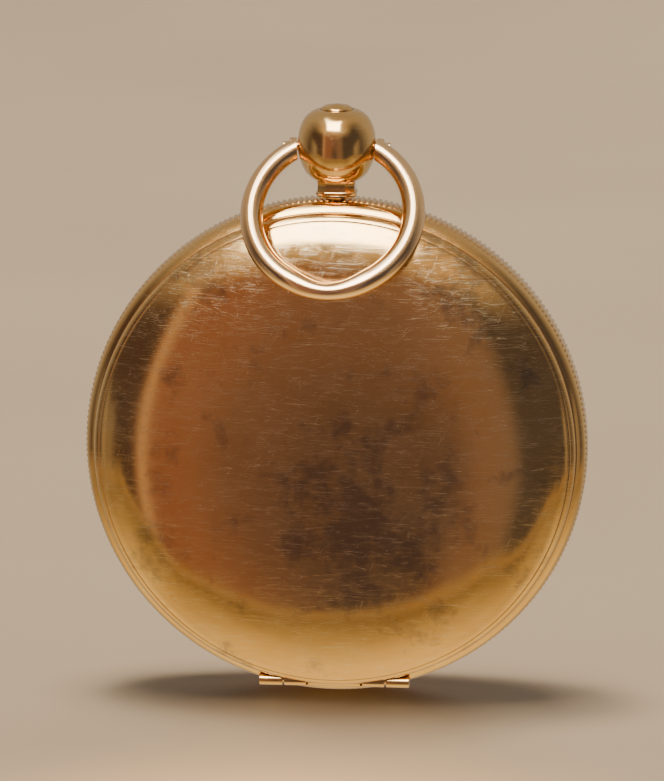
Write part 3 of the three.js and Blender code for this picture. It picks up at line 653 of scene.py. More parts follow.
def pendant():
    """Ball, faceted neck and foot, bored for the push piece."""
    side = [
        (1.55, 25.5), (2.2, 25.75), (2.85, 26.3), (3.24, 26.95), (3.5, 27.6), (3.66, 28.3),
        (3.7, 28.95), (3.68, 29.6), (3.58, 30.3), (3.36, 31.0), (2.98, 31.65), (2.45, 32.12),
        (1.95, 32.36), (1.72, 32.4),
    ]
    side = curve_through(side, 5)
    ball = upright("ball", [(0, 25.42), *side, (0, 32.4)], 96)
    boolean(ball, bar_z(0, 0, 28.4, 34, 1.58, ease=0.02))
    boolean(ball, bar_z(0, 0, 23, 29, 0.72, ease=0.01))
    boolean(ball, bar_x(-5, 5, 0, BALL_Z, 0.52, ease=0.01))
    neck = [(1.9, 24.36), (1.92, 24.42), (1.92, 24.5), (1.8, 24.6), (1.76, 24.75), (1.74, 25.2)]
    neck = facets("neck", [*neck, (1.78, 25.6), (1.95, 25.95), (2.1, 26.1)])
    boolean(neck, bar_z(0, 0, 23, 29, 0.72, ease=0.01))
    foot = bar_z(0, 0, 24.12, 24.4, 1.9, sides=64, bore=0.72, ease=0.05)
    dress(joined("pendant_ball_neck", [ball, neck, foot]), "case", "case", "gold_yellow", "pendant")


def upright(name, profile, steps):
    """Profile of (radius, z) turned about the pendant's axis, capped where it touches the axis."""
    rows = [p for p in profile if p[0] > 1e-6]
    verts = [
        (r * math.cos(2 * math.pi * k / steps), r * math.sin(2 * math.pi * k / steps), z)
        for r, z in rows
        for k in range(steps)
    ]
    faces = quads(len(rows), steps)
    for row, end in ((0, profile[0]), (len(rows) - 1, profile[-1])):
        tip = len(verts)
        verts.append((0, 0, end[1]))
        faces += [(tip, row * steps + k, row * steps + (k + 1) % steps) for k in range(steps)]
    return make(name, verts, faces)


def facets(name, rows):
    """Eight-sided stack, each row (half width, z), with wide faces front, back and at the sides."""
    verts = []
    for w, z in rows:
        c = w * 0.54
        for x, y in ((w, c), (c, w), (-c, w), (-w, c), (-w, -c), (-c, -w), (c, -w), (w, -c)):
            verts.append((x, y * 0.93, z))
    obj = make(name, verts, quads(len(rows), 8) + ends(len(rows), 8), sharp=28)
    bm = bmesh.new()
    bm.from_mesh(obj.data)
    upright_edges = [e for e in bm.edges if abs(e.verts[0].co.z - e.verts[1].co.z) > 1e-6]
    bmesh.ops.bevel(bm, geom=upright_edges, offset=0.05 * MM, segments=2, affect="EDGES")
    bm.to_mesh(obj.data)
    bm.free()
    return obj


def push_piece():
    """Domed cap with its stem down to the lock spring."""
    cap = [
        (0, 31.4), (1.44, 31.4), (1.5, 31.48), (1.5, 32.42), (1.44, 32.56), (1.2, 32.72), (1.12, 32.74),
        (1.04, 32.7), (0.8, 32.78), (0.5, 32.88), (0.2, 32.92), (0, 32.93),
    ]
    parts = [upright("cap", cap, 64), bar_z(0, 0, 20.55, 31.5, 0.6, sides=32)]
    dress(joined("push_cap", parts), "case", "push", "gold_yellow", "push_piece")


def bow():
    """Ring worn thin where the chain hung, with round eyes on the sides of the ball."""
    stations, sides, gap = 180, 40, 0.39
    turn = Matrix.Rotation(BOW_TILT, 3, "X")
    verts = []
    for i in range(stations + 1):
        a = gap + (2 * math.pi - 2 * gap) * i / stations
        away = abs(i / stations - 0.5) * 2
        worn = max(0.0, 1 - away / 0.2)
        worn = worn * worn * (3 - 2 * worn)
        r = 1.07 - 0.1 * away**4 - 0.26 * worn
        out = Vector((math.sin(a), 0, math.cos(a)))
        middle = Vector((out.x * 7.65, 0, out.z * 8.05 - 7.33)) + out * 0.26 * worn
        for k in range(sides):
            b = 2 * math.pi * k / sides
            p = turn @ (middle + out * r * math.cos(b) + Vector((0, r * math.sin(b), 0)))
            verts.append((p.x, p.y, p.z + BALL_Z))
    ring = make("bow_loop", verts, quads(stations + 1, sides) + ends(stations + 1, sides))
    for x0, x1 in ((-4.5, -3.7), (3.7, 4.5)):
        boolean(ring, bar_x(x0, x1, 0, BALL_Z, 0.8, sides=56, ease=0.2), "UNION")
    shell = [(3.9 * math.cos(a), BALL_Z + 3.9 * math.sin(a)) for a in np.linspace(-1.5708, 1.5708, 60)]
    shell[0], shell[-1] = (0, BALL_Z - 3.9), (0, BALL_Z + 3.9)
    boolean(ring, upright("room", shell, 96))
    boolean(ring, bar_x(-9, 9, 0, BALL_Z, 0.47, sides=40))
    dress(ring, "bow", "bow_ring", "gold_rose", "bow")


def bow_screw(node, tip, inner):
    """Slotted screw through one of the bow's eyes."""
    obj = bar_x(min(tip, inner), max(tip, inner), 0, BALL_Z, 0.4, sides=40, ease=0.06)
    boolean(obj, block("slot", tip - 0.14, tip + 0.14, -0.6, 0.6, BALL_Z - 0.06, BALL_Z + 0.06, 0))
    obj.name = node + "_slotted"
    dress(obj, "bow", "case", "gold_rose", node)


band()
reeding()
back_cover()
pin("back_pin", (-6.9, *BACK_AXIS), (6.9, *BACK_AXIS), "back_hinge_pin")
pin("bezel_pin", (*BEZEL_AXIS, -5.7), (*BEZEL_AXIS, 5.7), "bezel_hinge_pin")
pendant()
push_piece()
bow()
bow_screw("bow_screw_left", -5.1, -2.2)
bow_screw("bow_screw_right", 5.1, 2.2)


# ---------------------------------------------------------------- inner dome, bezel and glass


def stand_in(obj, mat, slot, node, name=None):
    """Dresses a piece that stands for one node and rides on that node's body."""
    obj.name = name or node + "_shape"
    dress(obj, mat, frame["nodes"][node]["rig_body"], slot, node)


def inner_dome():
    """Thin cap over the movement with two collared key holes and its hinge knuckle."""

    def height(r):
        return 4.4 - 0.00125 * r * r - 0.24 * (r / 18.0) ** 6

    outer = [(0, 4.4), *[(r, height(r)) for r in np.linspace(0.8, 19.6, 40)]]
    outer += [(20.0, 3.21), (20.4, 3.04), (20.9, 2.85), (21.22, 2.76), (21.33, 2.66), (21.35, 2.5)]
    outer += [(21.35, 2.22), (21.28, 2.15), (20.16, 2.15), (20.1, 2.2), (20.1, 2.62), (18.0, 3.3)]
    outer += [(12.0, 3.85), (0, 4.0)]
    shell = lathe("dome_shell", outer, 256)
    for at in (BARREL, CENTER):
        boolean(shell, bar("bore", (at[0], 3, at[1]), (at[0], 5, at[1]), 1.7, sides=64, ease=0.01))
    boolean(shell, bar_x(-3, 3, *BACK_AXIS, 0.76, ease=0.01))
    rims = [
        lathe("rim", rounded([(1.72, 4.0), (2.1, 4.0), (2.1, 4.385), (1.72, 4.385)], 0.05), 64, at)
        for at in (BARREL, CENTER)
    ]
    bt, bz = BACK_AXIS
    web = block("web", -2.48, 2.48, 2.55, 3.0, -22.65, -20.9, 0.04)
    boolean(web, bar_x(-3, 3, bt, bz, 0.5, ease=0.01))
    obj = joined("dome", [shell, *rims, knuckle("k", (-2.5, bt, bz), (2.5, bt, bz)), web])
    stand_in(obj, "inside", "gold_yellow", "inner_dome", "inner_dome_cap")


def bezel():
    """Front ring that holds the glass, with its hinge knuckle."""
    profile = [
        (22.05, -2.6), (22.8, -2.6), (22.85, -2.66), (22.85, -2.98), (22.78, -3.12), (22.62, -3.42),
        (22.4, -3.72), (22.1, -4.0), (21.72, -4.36), (21.3, -4.66), (20.8, -4.94), (20.45, -5.1),
        (20.12, -5.22), (19.95, -5.19), (19.86, -5.08), (19.87, -4.95), (20.7, -4.95), (20.7, -4.3),
        (21.2, -3.9), (22.05, -3.2),
    ]
    ring = lathe("bezel_ring", rounded(profile, 0.05, 2), 288)
    ex, et = BEZEL_AXIS
    boolean(ring, bar_z(ex, et, -6.1, 6.1, POCKET, ease=0.01))
    boolean(ring, block("cut", -24, ex, -4, -2, -6.1, 6.1, 0))
    hinge = knuckle("k", (ex, et, -2.1), (ex, et, 2.1))
    web = block("web", -22.45, -21.25, -3.5, -3.1, -2.08, 2.08, 0.04)
    stand_in(joined("bezel", [ring, hinge, web]), "case", "gold_yellow", "bezel", "bezel_ring")


def crystal():
    """Domed glass with its rim in the bezel's groove."""
    front = [(0, -7.5), (4, -7.47), (7.5, -7.38), (10.5, -7.24), (13, -7.03), (15.3, -6.7), (17.3, -6.17),
             (18.8, -5.5)]
    back = [(18.6, -4.95), (17, -5.6), (15, -6.1), (13, -6.42), (10, -6.65), (7.5, -6.75), (4, -6.8),
            (0, -6.82)]
    edge = [(19.7, -4.93), (20.5, -4.88), (20.58, -4.8), (20.58, -4.46), (20.5, -4.41), (19.4, -4.42)]
    profile = [*curve_through(front, 4), *edge, *curve_through(back, 4)]
    profile[0], profile[-1] = front[0], back[-1]
    stand_in(lathe("glass", profile, 192), "glass", "crystal_glass", "crystal", "crystal_dome")


# ---------------------------------------------------------------- dial and hands


def marks(name, polygons, t=-4.2, rise=0.016):
    """Painted shapes, thin plates on the dial's face, in black."""
    verts, faces = [], []
    for outline in polygons:
        n, base = len(outline), len(verts)
        verts += [(x, t, z) for x, z in outline] + [(x, t - rise, z) for x, z in outline]
        faces.append(tuple(base + k for k in range(n)))
        faces.append(tuple(base + n + k for k in range(n)))
        faces += [(base + k, base + (k + 1) % n, base + n + (k + 1) % n, base + n + k) for k in range(n)]
    dress(make(name, verts, faces, smooth=False), "ink", "case", "enamel")


def turned_about(outline, hour, r=0.0, at=(0, 0)):
    """Moves an outline drawn upright at (0, r) to a clock position."""
    a = math.radians(hour * 30)
    return [
        (at[0] + u * math.cos(a) + (v + r) * math.sin(a), at[1] + (v + r) * math.cos(a) - u * math.sin(a))
        for u, v in outline
    ]


def numeral(text):
    """Outlines of a Roman numeral, centred, 3.3 tall."""
    high, serif, gap = 3.3, 0.12, 0.16
    width = {"I": 0.92, "V": 2.2, "X": 2.3}
    total = sum(width[c] + gap for c in text) - gap
    out, at = [], -total / 2
    top, low = high / 2, -high / 2

    def rect(u0, u1, v0, v1):
        out.append([(u0, v0), (u1, v0), (u1, v1), (u0, v1)])

    for c in text:
        w = width[c]
        mid = at + w / 2
        if c == "I":
            rect(mid - 0.27, mid + 0.27, low + serif, top - serif)
            rect(at, at + w, top - serif, top)
            rect(at, at + w, low, low + serif)
        else:
            foot, under = mid + 0.12 if c == "V" else at + w - 0.35, top - serif
            out.append([(at + 0.2, under), (foot - 0.28, low), (foot + 0.28, low), (at + 0.76, under)])
            foot, end = mid if c == "V" else at + 0.35, at + w
            out.append([(end - 0.42, under), (foot - 0.06, low), (foot + 0.08, low), (end - 0.26, under)])
            rect(at, at + 0.95, top - serif, top)
            rect(at + w - 0.68, at + w, top - serif, top)
            if c == "X":
                rect(at, at + 0.7, low, low + serif)
                rect(at + w - 0.95, at + w, low, low + serif)
        at += w + gap
    return out


def dial():
    """Enamel disc with its sunk seconds dial, numerals and minute track."""
    disc = lathe(
        "dial_disc",
        rounded([(1.3, -3.6), (20.3, -3.6), (20.3, -4.15), (19.8, -4.2), (1.3, -4.2)], 0.05),
        256,
    )
    fx, fz = FOURTH
    sunk = lathe("sunk", [(0, -4.9), (4.3, -4.9), (4.3, -4.12), (0, -4.12)], 128, FOURTH)
    boolean(disc, sunk)
    boolean(disc, bar("bore", (fx, -5, fz), (fx, -3, fz), 0.55, sides=32, ease=0.01))
    stand_in(disc, "enamel", "enamel", "dial", "dial_disc")

    names = ("XII", "I", "II", "III", "IIII", "V", "VI", "VII", "VIII", "IX", "X", "XI")
    polygons = [turned_about(p, h, 15.55) for h, text in enumerate(names) for p in numeral(text)]
    for k in range(60):
        half = 0.13 if k % 5 == 0 else 0.055
        mark = [(-half, -0.42), (half, -0.42), (half, 0.42), (-half, 0.42)]
        polygons.append(turned_about(mark, k / 5, 18.35))
    marks("dial_numerals", polygons)

    def circle(name, r, width, t, steps, at=(0, 0)):
        return lathe(name, [(r, t), (r + width, t), (r + width, t - 0.021), (r, t - 0.021)], steps, at)

    rings = [circle("track", r, 0.07, -4.195, 192) for r in (17.86, 18.77)]
    rings.append(circle("edge", 4.24, 0.08, -4.195, 128, FOURTH))
    dress(joined("dial_track", rings), "ink", "case", "enamel")

    polygons = []
    for k in range(60):
        half, reach = (0.06, 0.5) if k % 5 == 0 else (0.03, 0.28)
        mark = [(-half, -reach), (half, -reach), (half, 0), (-half, 0)]
        polygons.append(turned_about(mark, k / 5, 3.9, FOURTH))
    marks("seconds_marks", polygons, -4.12)
    dress(circle("seconds_track", 3.9, 0.05, -4.115, 128, FOURTH), "ink", "case", "enamel")


def hand_outline(length, width, spade_at, spade, start=0.0):
    """Half of a hand, mirrored: straight stem, leaf-shaped spade and long point."""
    half = width / 2
    side = [(half, start), (half * 0.8, spade_at)]
    if spade:
        leaf = [(half * 0.8, spade_at), (spade * 0.85, spade_at + spade * 0.45), (spade, spade_at + spade),
                (spade * 0.6, spade_at + spade * 1.6), (half * 0.7, spade_at + spade * 2.3)]
        side = [(half, start), *curve_through(leaf, 5)]
    side.append((0.07, length - 0.05))
    return [*side, (0, length), *[(-u, v) for u, v in reversed(side)]]


def hand(node, length, width, hour, boss, bore, t0, t1, spade_at=0.0, spade=0.0, at=(0, 0), tail=0.0):
    """Blued hand on its boss, pointing at a clock position."""
    outline = hand_outline(length, width, spade_at or length * 0.6, spade, bore + 0.1)
    outline = turned_about(outline, hour, 0, at)
    parts = [slab("arm", outline, t0, t1, ease=0.03)]
    parts.append(lathe("boss", rounded([(bore, t0), (boss, t0), (boss, t1), (bore, t1)], 0.05), 64, at))
    if tail:
        wide, narrow, start = width * 0.7, width * 0.5, -bore - 0.1
        back = [(-wide, -tail), (wide, -tail), (narrow, start), (-narrow, start)]
        parts.append(slab("tail", turned_about(back, hour, 0, at), t0, t1, ease=0.02))
    stand_in(joined(node, parts), "blued", "blued_steel", node, node + "_leaf")


# ---------------------------------------------------------------- movement


def heading(start, end):
    return math.atan2(end[1] - start[1], end[0] - start[0])


def tooth_outline(at, teeth, module, aim):
    pitch = teeth * module / 2
    step = 2 * math.pi / teeth
    out = []
    tooth = ((-0.24, -1.2), (-0.17, -0.1), (-0.06, 0.8), (0.06, 0.8), (0.17, -0.1), (0.24, -1.2))
    for k in range(teeth):
        out += [polar(at, pitch + r * module, aim + (k + share) * step) for share, r in tooth]
    return out


def crossings(at, hub, rim, arms, width):
    """Openings between the arms, with curved ends."""
    out = []
    for k in range(arms):
        a, b = 2 * math.pi * k / arms, 2 * math.pi * (k + 1) / arms
        loop = []
        for r, forward in ((rim, True), (hub, False)):
            half = math.asin(width / 2 / r)
            ends = (a + half, b - half) if forward else (b - half, a + half)
            loop += [(r, ends[0] + (ends[1] - ends[0]) * i / 10) for i in range(11)]
        points = [polar(at, r, c) for r, c in loop]
        out.append([tuple(p) for p in rounded(points, 0.18, 2)])
    return out


def train_wheel(node, at, teeth, module, aim, t0, t1, hub, bore, width=0.5):
    """Toothed wheel with four arms; `aim` is the heading of one tooth."""
    rim = teeth * module / 2 - 1.2 * module - 0.4
    holes = [*crossings(at, hub, rim, 4, width), ring_of(bore, 32, at)]
    obj = slab(node, tooth_outline(at, teeth, module, aim), t0, t1, holes, ease=0.015)
    stand_in(obj, "gilt", "gilt_brass", node)


def escape_wheel():
    """Fifteen raked teeth on a light rim."""
    tooth = ((2.6, 0.0), (2.6, 0.03), (2.3, 0.055), (2.03, 0.11), (1.95, 0.2), (1.95, 0.3), (2.1, 0.38))
    outline = [polar(ESCAPE, r, 2 * math.pi * k / 15 + shift) for k in range(15) for r, shift in tooth]
    holes = [*crossings(ESCAPE, 0.7, 1.7, 4, 0.35), ring_of(0.41, 24, ESCAPE)]
    obj = slab("escape", outline, -0.4, -0.1, holes, ease=0.01)
    stand_in(obj, "gilt", "gilt_brass", "escape_wheel")


def plates():
    """Round top and pillar plates with their pivot holes."""
    pivots = ((0.3, THIRD), (0.3, FOURTH), (0.25, ESCAPE), (0.25, PALLET))
    more = ((0.65, BALANCE), (1.1, BARREL), (0.45, COCK_FOOT), (0.32, CLICK_POST))
    holes = [ring_of(r, 48, at) for r, at in ((0.85, CENTER), *pivots, *more)]
    holes += [ring_of(0.55, 32, at) for at in PILLARS]
    top = slab("top", ring_of(19.1, 192), 1.25, 1.95, holes, ease=0.08)
    sinks = [
        lathe("sink", rounded([(r, 1.9), (r + 0.32, 1.9), (r + 0.32, 1.975), (r, 1.975)], 0.03), 48, at)
        for r, at in pivots
    ]
    stand_in(joined("top", [top, *sinks]), "gilt", "gilt_brass", "top_plate", "top_plate_round")
    holes = [ring_of(r, 32, at) for r, at in ((0.45, CENTER), *pivots, (0.25, BALANCE), (0.75, BARREL))]
    holes += [ring_of(0.52, 32, at) for at in PILLARS]
    low = slab("low", ring_of(20.4, 192), -2.55, -1.35, holes, ease=0.08)
    stem = bar("stem", (3.533, -3.55, 2.04), (3.533, -2.4, 2.04), 0.25, sides=24)
    stand_in(joined("low", [low, stem]), "gilt", "gilt_brass", "pillar_plate", "pillar_plate_round")


def screw(node, at, shaft, depth, head, top, seat):
    """Slotted screw with a domed, blued head."""
    profile = [(0, depth), (shaft, depth), (shaft, seat), (head, seat)]
    profile += [(head, top - 0.1), (head - 0.1, top - 0.02), (0, top)]
    obj = lathe(node, profile, 48, at)
    (x, z), reach = at, head + 0.2
    boolean(obj, block("slot", x - reach, x + reach, top - 0.14, top + 0.2, z - 0.09, z + 0.09, 0))
    stand_in(obj, "blued", "blued_steel", node)


def ratchet():
    """Ratchet wheel with its square hole."""
    tooth = ((3.3, 0.0), (3.1, 0.018), (2.9, 0.045), (3.05, 0.12))
    outline = [polar(BARREL, r, 2 * math.pi * k / 28 + shift) for k in range(28) for r, shift in tooth]
    hole = [(BARREL[0] + 0.77 * u, BARREL[1] + 0.77 * v) for u, v in ((-1, -1), (1, -1), (1, 1), (-1, 1))]
    obj = slab("ratchet", outline, 2.05, 2.4, [hole], ease=0.03)
    stand_in(obj, "steel", "polished_steel", "ratchet_wheel")


def swung(points, at, turn):
    """Points (u, v) turned by `turn` and moved to `at`."""
    c, s = math.cos(turn), math.sin(turn)
    return [(at[0] + u * c - v * s, at[1] + u * s + v * c) for u, v in points]


def balance():
    """Plain balance: rim, two straight arms and hub."""
    parts = [lathe("rim", rounded([(6.5, 2.1), (7.2, 2.1), (7.2, 2.6), (6.5, 2.6)], 0.06), 160, BALANCE)]
    for outline in (
        [(-6.6, -0.4), (-1.2, -0.34), (-1.2, 0.34), (-6.6, 0.4)],
        [(1.2, -0.34), (6.6, -0.4), (6.6, 0.4), (1.2, 0.34)],
    ):
        parts.append(slab("arm", swung(outline, BALANCE, math.radians(-20)), 2.15, 2.4, ease=0.03))
    hub = rounded([(0.4, 2.15), (1.25, 2.15), (1.25, 2.4), (0.4, 2.4)], 0.04)
    parts.append(lathe("hub", hub, 64, BALANCE))
    stand_in(joined("balance", parts), "gilt", "gilt_brass", "balance_wheel")


def cock():
    """Cock with a pierced table over the balance."""
    toward = heading(COCK_FOOT, BALANCE)
    reach = math.dist(BALANCE, COCK_FOOT)
    side = [(-1.62, 0.0), (-1.5, 0.8), (-0.9, 1.45), (0.0, 1.66), (1.4, 1.55), (3.2, 1.3), (5.0, 1.15)]
    tip = [(-2.6, 1.35), (-1.7, 1.6), (-0.9, 2.08), (0, 2.26), (1.1, 1.98), (1.95, 1.15), (2.26, 0.0)]
    curve = curve_through([*side, *[(reach + u, v) for u, v in tip]], 5)
    outline = [*curve, *[(u, -v) for u, v in reversed(curve[1:-1])]]
    loops = [outline, ring_of(0.22, 24, (reach, 0)), ring_of(0.45, 32)]
    outline, *holes = [swung(loop, COCK_FOOT, toward) for loop in loops]
    table = slab("table", outline, 3.0, 3.4, holes, ease=0.06)
    foot = lathe("foot", rounded([(0.45, 2.0), (1.6, 2.0), (1.6, 3.1), (0.45, 3.1)], 0.04), 64, COCK_FOOT)
    stand_in(joined("cock", [table, foot]), "gilt", "gilt_brass", "balance_cock")


def regulator():
    """Index arm with an arrow tip, round the balance staff."""
    tip = [(0.75, -0.2), (2.9, -0.1), (3.15, -0.24), (3.4, 0), (3.15, 0.24), (2.9, 0.1), (0.75, 0.2)]
    arm = slab("index", swung(tip, BALANCE, math.radians(-110)), 3.45, 3.62, ease=0.03)
    boss = lathe("boss", rounded([(0.4, 3.45), (1.1, 3.45), (1.1, 3.62), (0.4, 3.62)], 0.04), 64, BALANCE)
    stand_in(joined("regulator", [arm, boss]), "steel", "polished_steel", "regulator")


def barrel():
    """Drum with its ring of teeth."""
    wall = [(1.15, -1.15), (6.5, -1.15), (6.5, 0.55), (6.1, 0.55), (6.1, -0.85), (1.15, -0.85)]
    drum = lathe("drum", rounded(wall, 0.04), 128, BARREL)
    teeth = tooth_outline(BARREL, 48, 0.2957, heading(BARREL, CENTER))
    ring = slab("ring", teeth, -1.14, -0.76, [ring_of(6.4, 96, BARREL)], ease=0.02)
    stand_in(joined("barrel", [drum, ring]), "gilt", "gilt_brass", "barrel")


def softened(node, mat):
    """Keeps a node's own shape, with eased edges, smooth rounds and its own finish."""
    obj = frame["nodes"][node]
    ease = obj.modifiers.new("ease", "BEVEL")
    ease.width, ease.segments = 0.025 * MM, 2
    ease.limit_method, ease.angle_limit = "ANGLE", math.radians(42)
    smooth = obj.modifiers.new("smooth", "NODES")
    smooth.node_group = SMOOTH
    obj.data.materials.clear()
    obj.data.materials.append(MATS[mat])


def smooth_group():
    """Shades faces smooth and keeps edges above CREASE sharp."""
    tree = bpy.data.node_groups.new("smooth_by_angle", "GeometryNodeTree")
    tree.interface.new_socket("Geometry", in_out="INPUT", socket_type="NodeSocketGeometry")
    tree.interface.new_socket("Geometry", in_out="OUTPUT", socket_type="NodeSocketGeometry")
    start, end = tree.nodes.new("NodeGroupInput"), tree.nodes.new("NodeGroupOutput")
    angle = tree.nodes.new("GeometryNodeInputMeshEdgeAngle")
    below = tree.nodes.new("FunctionNodeCompare")
    below.data_type, below.operation = "FLOAT", "LESS_THAN"
    below.inputs["B"].default_value = math.radians(CREASE)
    edges = tree.nodes.new("GeometryNodeSetShadeSmooth")
    edges.domain = "EDGE"
    faces = tree.nodes.new("GeometryNodeSetShadeSmooth")
    tree.links.new(angle.outputs[0], below.inputs["A"])
    tree.links.new(start.outputs[0], edges.inputs["Geometry"])
    tree.links.new(below.outputs[0], edges.inputs["Shade Smooth"])
    tree.links.new(edges.outputs[0], faces.inputs["Geometry"])
    tree.links.new(faces.outputs[0], end.inputs[0])
    return tree


SMOOTH = smooth_group()
inner_dome()
bezel()
crystal()
dial()
hand("hour_hand", 9.4, 0.5, 10.17, 1.3, 1.08, -4.8, -4.62, 6.0, 0.75)
hand("minute_hand", 15.2, 0.42, 2, 0.95, 0.65, -5.3, -5.14, 10.5, 0.65)
hand("seconds_hand", 3.3, 0.16, 6.5, 0.42, 0.25, -4.62, -4.5, at=FOURTH, tail=1.1)
plates()
train_wheel("center_wheel", CENTER, 48, 0.24, heading(CENTER, THIRD), 0.8, 1.02, 1.3, 0.8)
train_wheel("third_wheel", THIRD, 45, 0.18667, heading(THIRD, FOURTH), -0.95, -0.72, 0.9, 0.5)
train_wheel("fourth_wheel", FOURTH, 48, 0.15907, heading(FOURTH, ESCAPE), 0.2, 0.42, 0.9, 0.5)
escape_wheel()
barrel()
ratchet()
balance()
cock()
regulator()
for number, at in enumerate(PILLARS):
    screw(f"pillar_screw_{number + 1}", at, 0.3, 0.5, 0.8, 2.35, 2.0)
KEPT = {
    "gilt": "pillar_1 pillar_2 pillar_3 pillar_4 barrel_cover dial_ring minute_wheel hour_wheel",
    "steel": """lock_spring barrel_arbor click click_spring center_arbor third_pinion fourth_pinion
        escape_pinion pallet_lever pallet_arbor balance_staff roller cannon_pinion cock_screw""",
    "blued": "mainspring hairspring",
}
for finish, nodes in KEPT.items():
    for node in nodes.split():
        softened(node, finish)


# ---------------------------------------------------------------- studio


def floor():
    """Pale table that fades into the backdrop. Its own reflection comes from the surroundings."""
    mat, n = material("table_pale")
    cloud = n.noise(n.coords(), 14.0, 3.0)
    colour = n.mix(n.between(cloud, 0.3, 0.7), (0.172, 0.124, 0.076), (0.183, 0.132, 0.082))
    bsdf = finish_metal(n, colour, n.between(cloud, 0.3, 0.7, 0.42, 0.5), cloud, 0.02, 0.0)
    n.set(bsdf, Specular_IOR_Level=0.15)
    half, level = 6, -2e-5
    mesh = bpy.data.meshes.new("table_top")
    corners = [(u * half, v * half, level) for u, v in ((-1, -1), (1, -1), (1, 1), (-1, 1))]
    mesh.from_pydata(corners, [], [(0, 1, 2, 3)])
    mesh.materials.append(mat)
    top = linked("table_top", mesh)
    top.visible_glossy = False


def lamp(name, at, aim, size, power, colour, size_y=None, spread=180):
    """Soft lamp that the polished metal doesn't mirror."""
    data = bpy.data.lights.new(name, "AREA")
    data.shape = "RECTANGLE" if size_y else "SQUARE"
    data.size = size
    if size_y:
        data.size_y = size_y
    data.energy = power
    data.color = colour
    data.spread = math.radians(spread)
    obj = linked(name, data)
    obj.location = at
    obj.rotation_euler = (Vector(aim) - Vector(at)).to_track_quat("-Z", "Y").to_euler()
    obj.visible_glossy = False


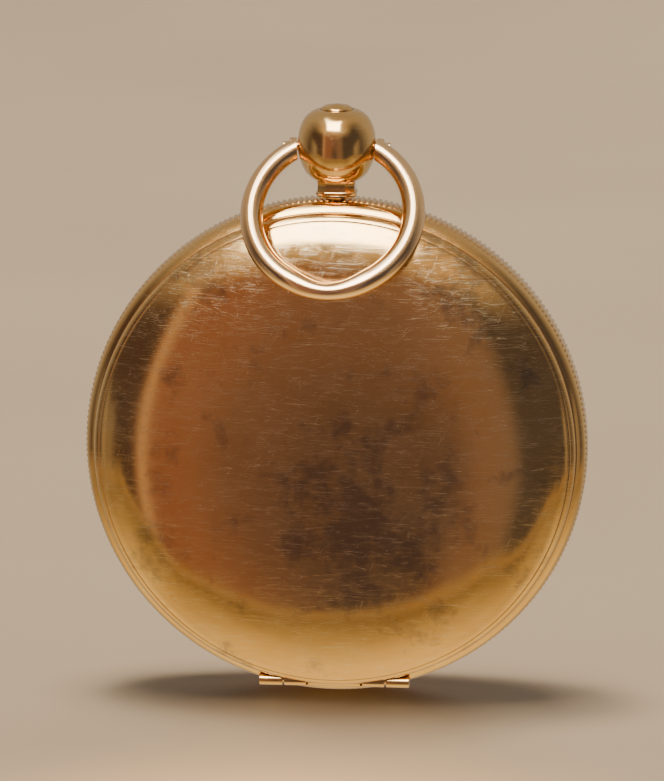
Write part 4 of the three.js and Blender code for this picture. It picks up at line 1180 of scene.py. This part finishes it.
def world():
    """Even light and a plain backdrop. Polished metal mirrors a panel above, a dim room and the table."""
    made = bpy.data.worlds.new("studio")
    bpy.context.scene.world = made
    made.use_nodes = True
    n = Nodes(made.node_tree)
    direction = n.add("ShaderNodeTexCoord").outputs["Generated"]
    split = n.add("ShaderNodeSeparateXYZ")
    n.set(split, Vector=direction)
    x, y, z = split.outputs
    side = n.math("ABSOLUTE", x)
    cloud = n.noise(direction, 5.0, 3.0)
    wobble = n.math("MULTIPLY", n.math("SUBTRACT", cloud, 0.5), 0.12)
    xw, zw = n.math("ADD", x, wobble), n.math("ADD", z, wobble)

    room = n.mix(n.between(x, -0.4, 0.35), (0.25, 0.19, 0.18), (0.33, 0.165, 0.125))
    body = n.between(zw, 0.14, 0.04, 0.0, 0.3)
    feet = n.between(zw, -0.14, -0.24, 0.0, 0.38)
    figure = n.both(n.between(xw, -0.14, -0.02), n.between(xw, 0.26, 0.08), n.math("ADD", body, feet))
    door_edge = n.both(n.between(x, 0.48, 0.54), n.between(x, 0.62, 0.56))
    halo = n.both(n.between(z, 0.27, 0.46), n.between(x, -0.74, -0.34), n.between(x, 0.88, 0.54))
    panel = n.both(
        n.between(z, 0.53, 0.57),
        n.between(z, 0.97, 0.94),
        n.between(x, -0.24, -0.18),
        n.between(x, 0.43, 0.38),
    )
    low = n.math("SUBTRACT", zw, n.between(side, 0.5, 0.75, 0.0, 0.2))
    table = n.mix(n.between(low, -0.54, -0.92), (0.27, 0.19, 0.10), (1.38, 1.04, 0.50))
    brink = n.both(n.between(low, -0.47, -0.50), n.between(low, -0.55, -0.52))
    edge = n.math("ADD", side, n.between(z, -0.1, 0.1, 0.0, -0.16))
    rim = n.both(n.between(edge, 0.78, 0.86), n.between(y, 0.15, 0.45))
    behind = n.math("SUBTRACT", y, n.math("MULTIPLY", z, 0.4))
    for share, colour in (
        (figure, (0.05, 0.06, 0.09)),
        (door_edge, (0.66, 0.44, 0.30)),
        (n.between(x, 0.57, 0.64), (0.10, 0.072, 0.075)),
        (n.between(xw, -0.32, -0.40), (0.10, 0.088, 0.10)),
        (halo, (0.86, 0.66, 0.44)),
        (panel, (14.0, 14.0, 13.8)),
        (n.between(low, -0.49, -0.54), table),
        (brink, (0.50, 0.34, 0.17)),
        (rim, (0.42, 0.34, 0.25)),
        (n.between(behind, 0.20, -0.55), (0.50, 0.43, 0.345)),
    ):
        room = n.mix(share, room, colour)
    seen = n.add("ShaderNodeLightPath").outputs
    lit = n.mix(seen["Is Glossy Ray"], (0.11, 0.10, 0.085), room)
    back = n.add("ShaderNodeBackground")
    n.set(back, Color=n.mix(seen["Is Camera Ray"], lit, (0.45, 0.375, 0.30)), Strength=1.0)
    out = n.add("ShaderNodeOutputWorld")
    n.set(out, Surface=back.outputs[0])


def camera():
    """Long lens a little above the back's centre; the view spans VIEW_HEIGHT at the watch."""
    azimuth, elevation = math.radians(CAMERA_AZIMUTH), math.radians(CAMERA_ELEVATION)
    level = math.cos(elevation)
    away = Vector((math.sin(azimuth) * level, -math.cos(azimuth) * level, math.sin(elevation)))
    data = bpy.data.cameras.new("camera")
    data.sensor_width = SENSOR
    data.lens = SENSOR * CAMERA_DISTANCE / VIEW_HEIGHT
    data.clip_start, data.clip_end = 0.01, 30
    obj = linked("camera", data)
    obj.location = Vector((0.46 * MM, Y0, Z0 + 5.19 * MM)) + away * CAMERA_DISTANCE
    obj.rotation_euler = (-away).to_track_quat("-Z", "Y").to_euler()
    bpy.context.scene.camera = obj


CAMERA_AZIMUTH, CAMERA_ELEVATION = 185, 12.5  # degrees, from the dial's side
CAMERA_DISTANCE, VIEW_HEIGHT = 0.55, 0.0745  # metres
SENSOR = 36
WHITE = (1.0, 0.98, 0.95)

floor()
lamp("overhead", (0.1, -0.2, 2.0), (0, 0, 0), 0.95, 106.0, WHITE, size_y=0.8)
lamp("key", (0.06, -0.07, 0.46), (0, 0, 0), 0.08, 2.5, (1.0, 0.97, 0.92))
lamp("fill", (-0.15, -0.6, 0.4), (0, 0, 0.03), 0.35, 3.0, WHITE)
lamp("bounce", (0, 0.058, 0.075), (0, 0.062, 0), 0.02, 0.09, (1.0, 0.66, 0.34), spread=60)
world()
camera()
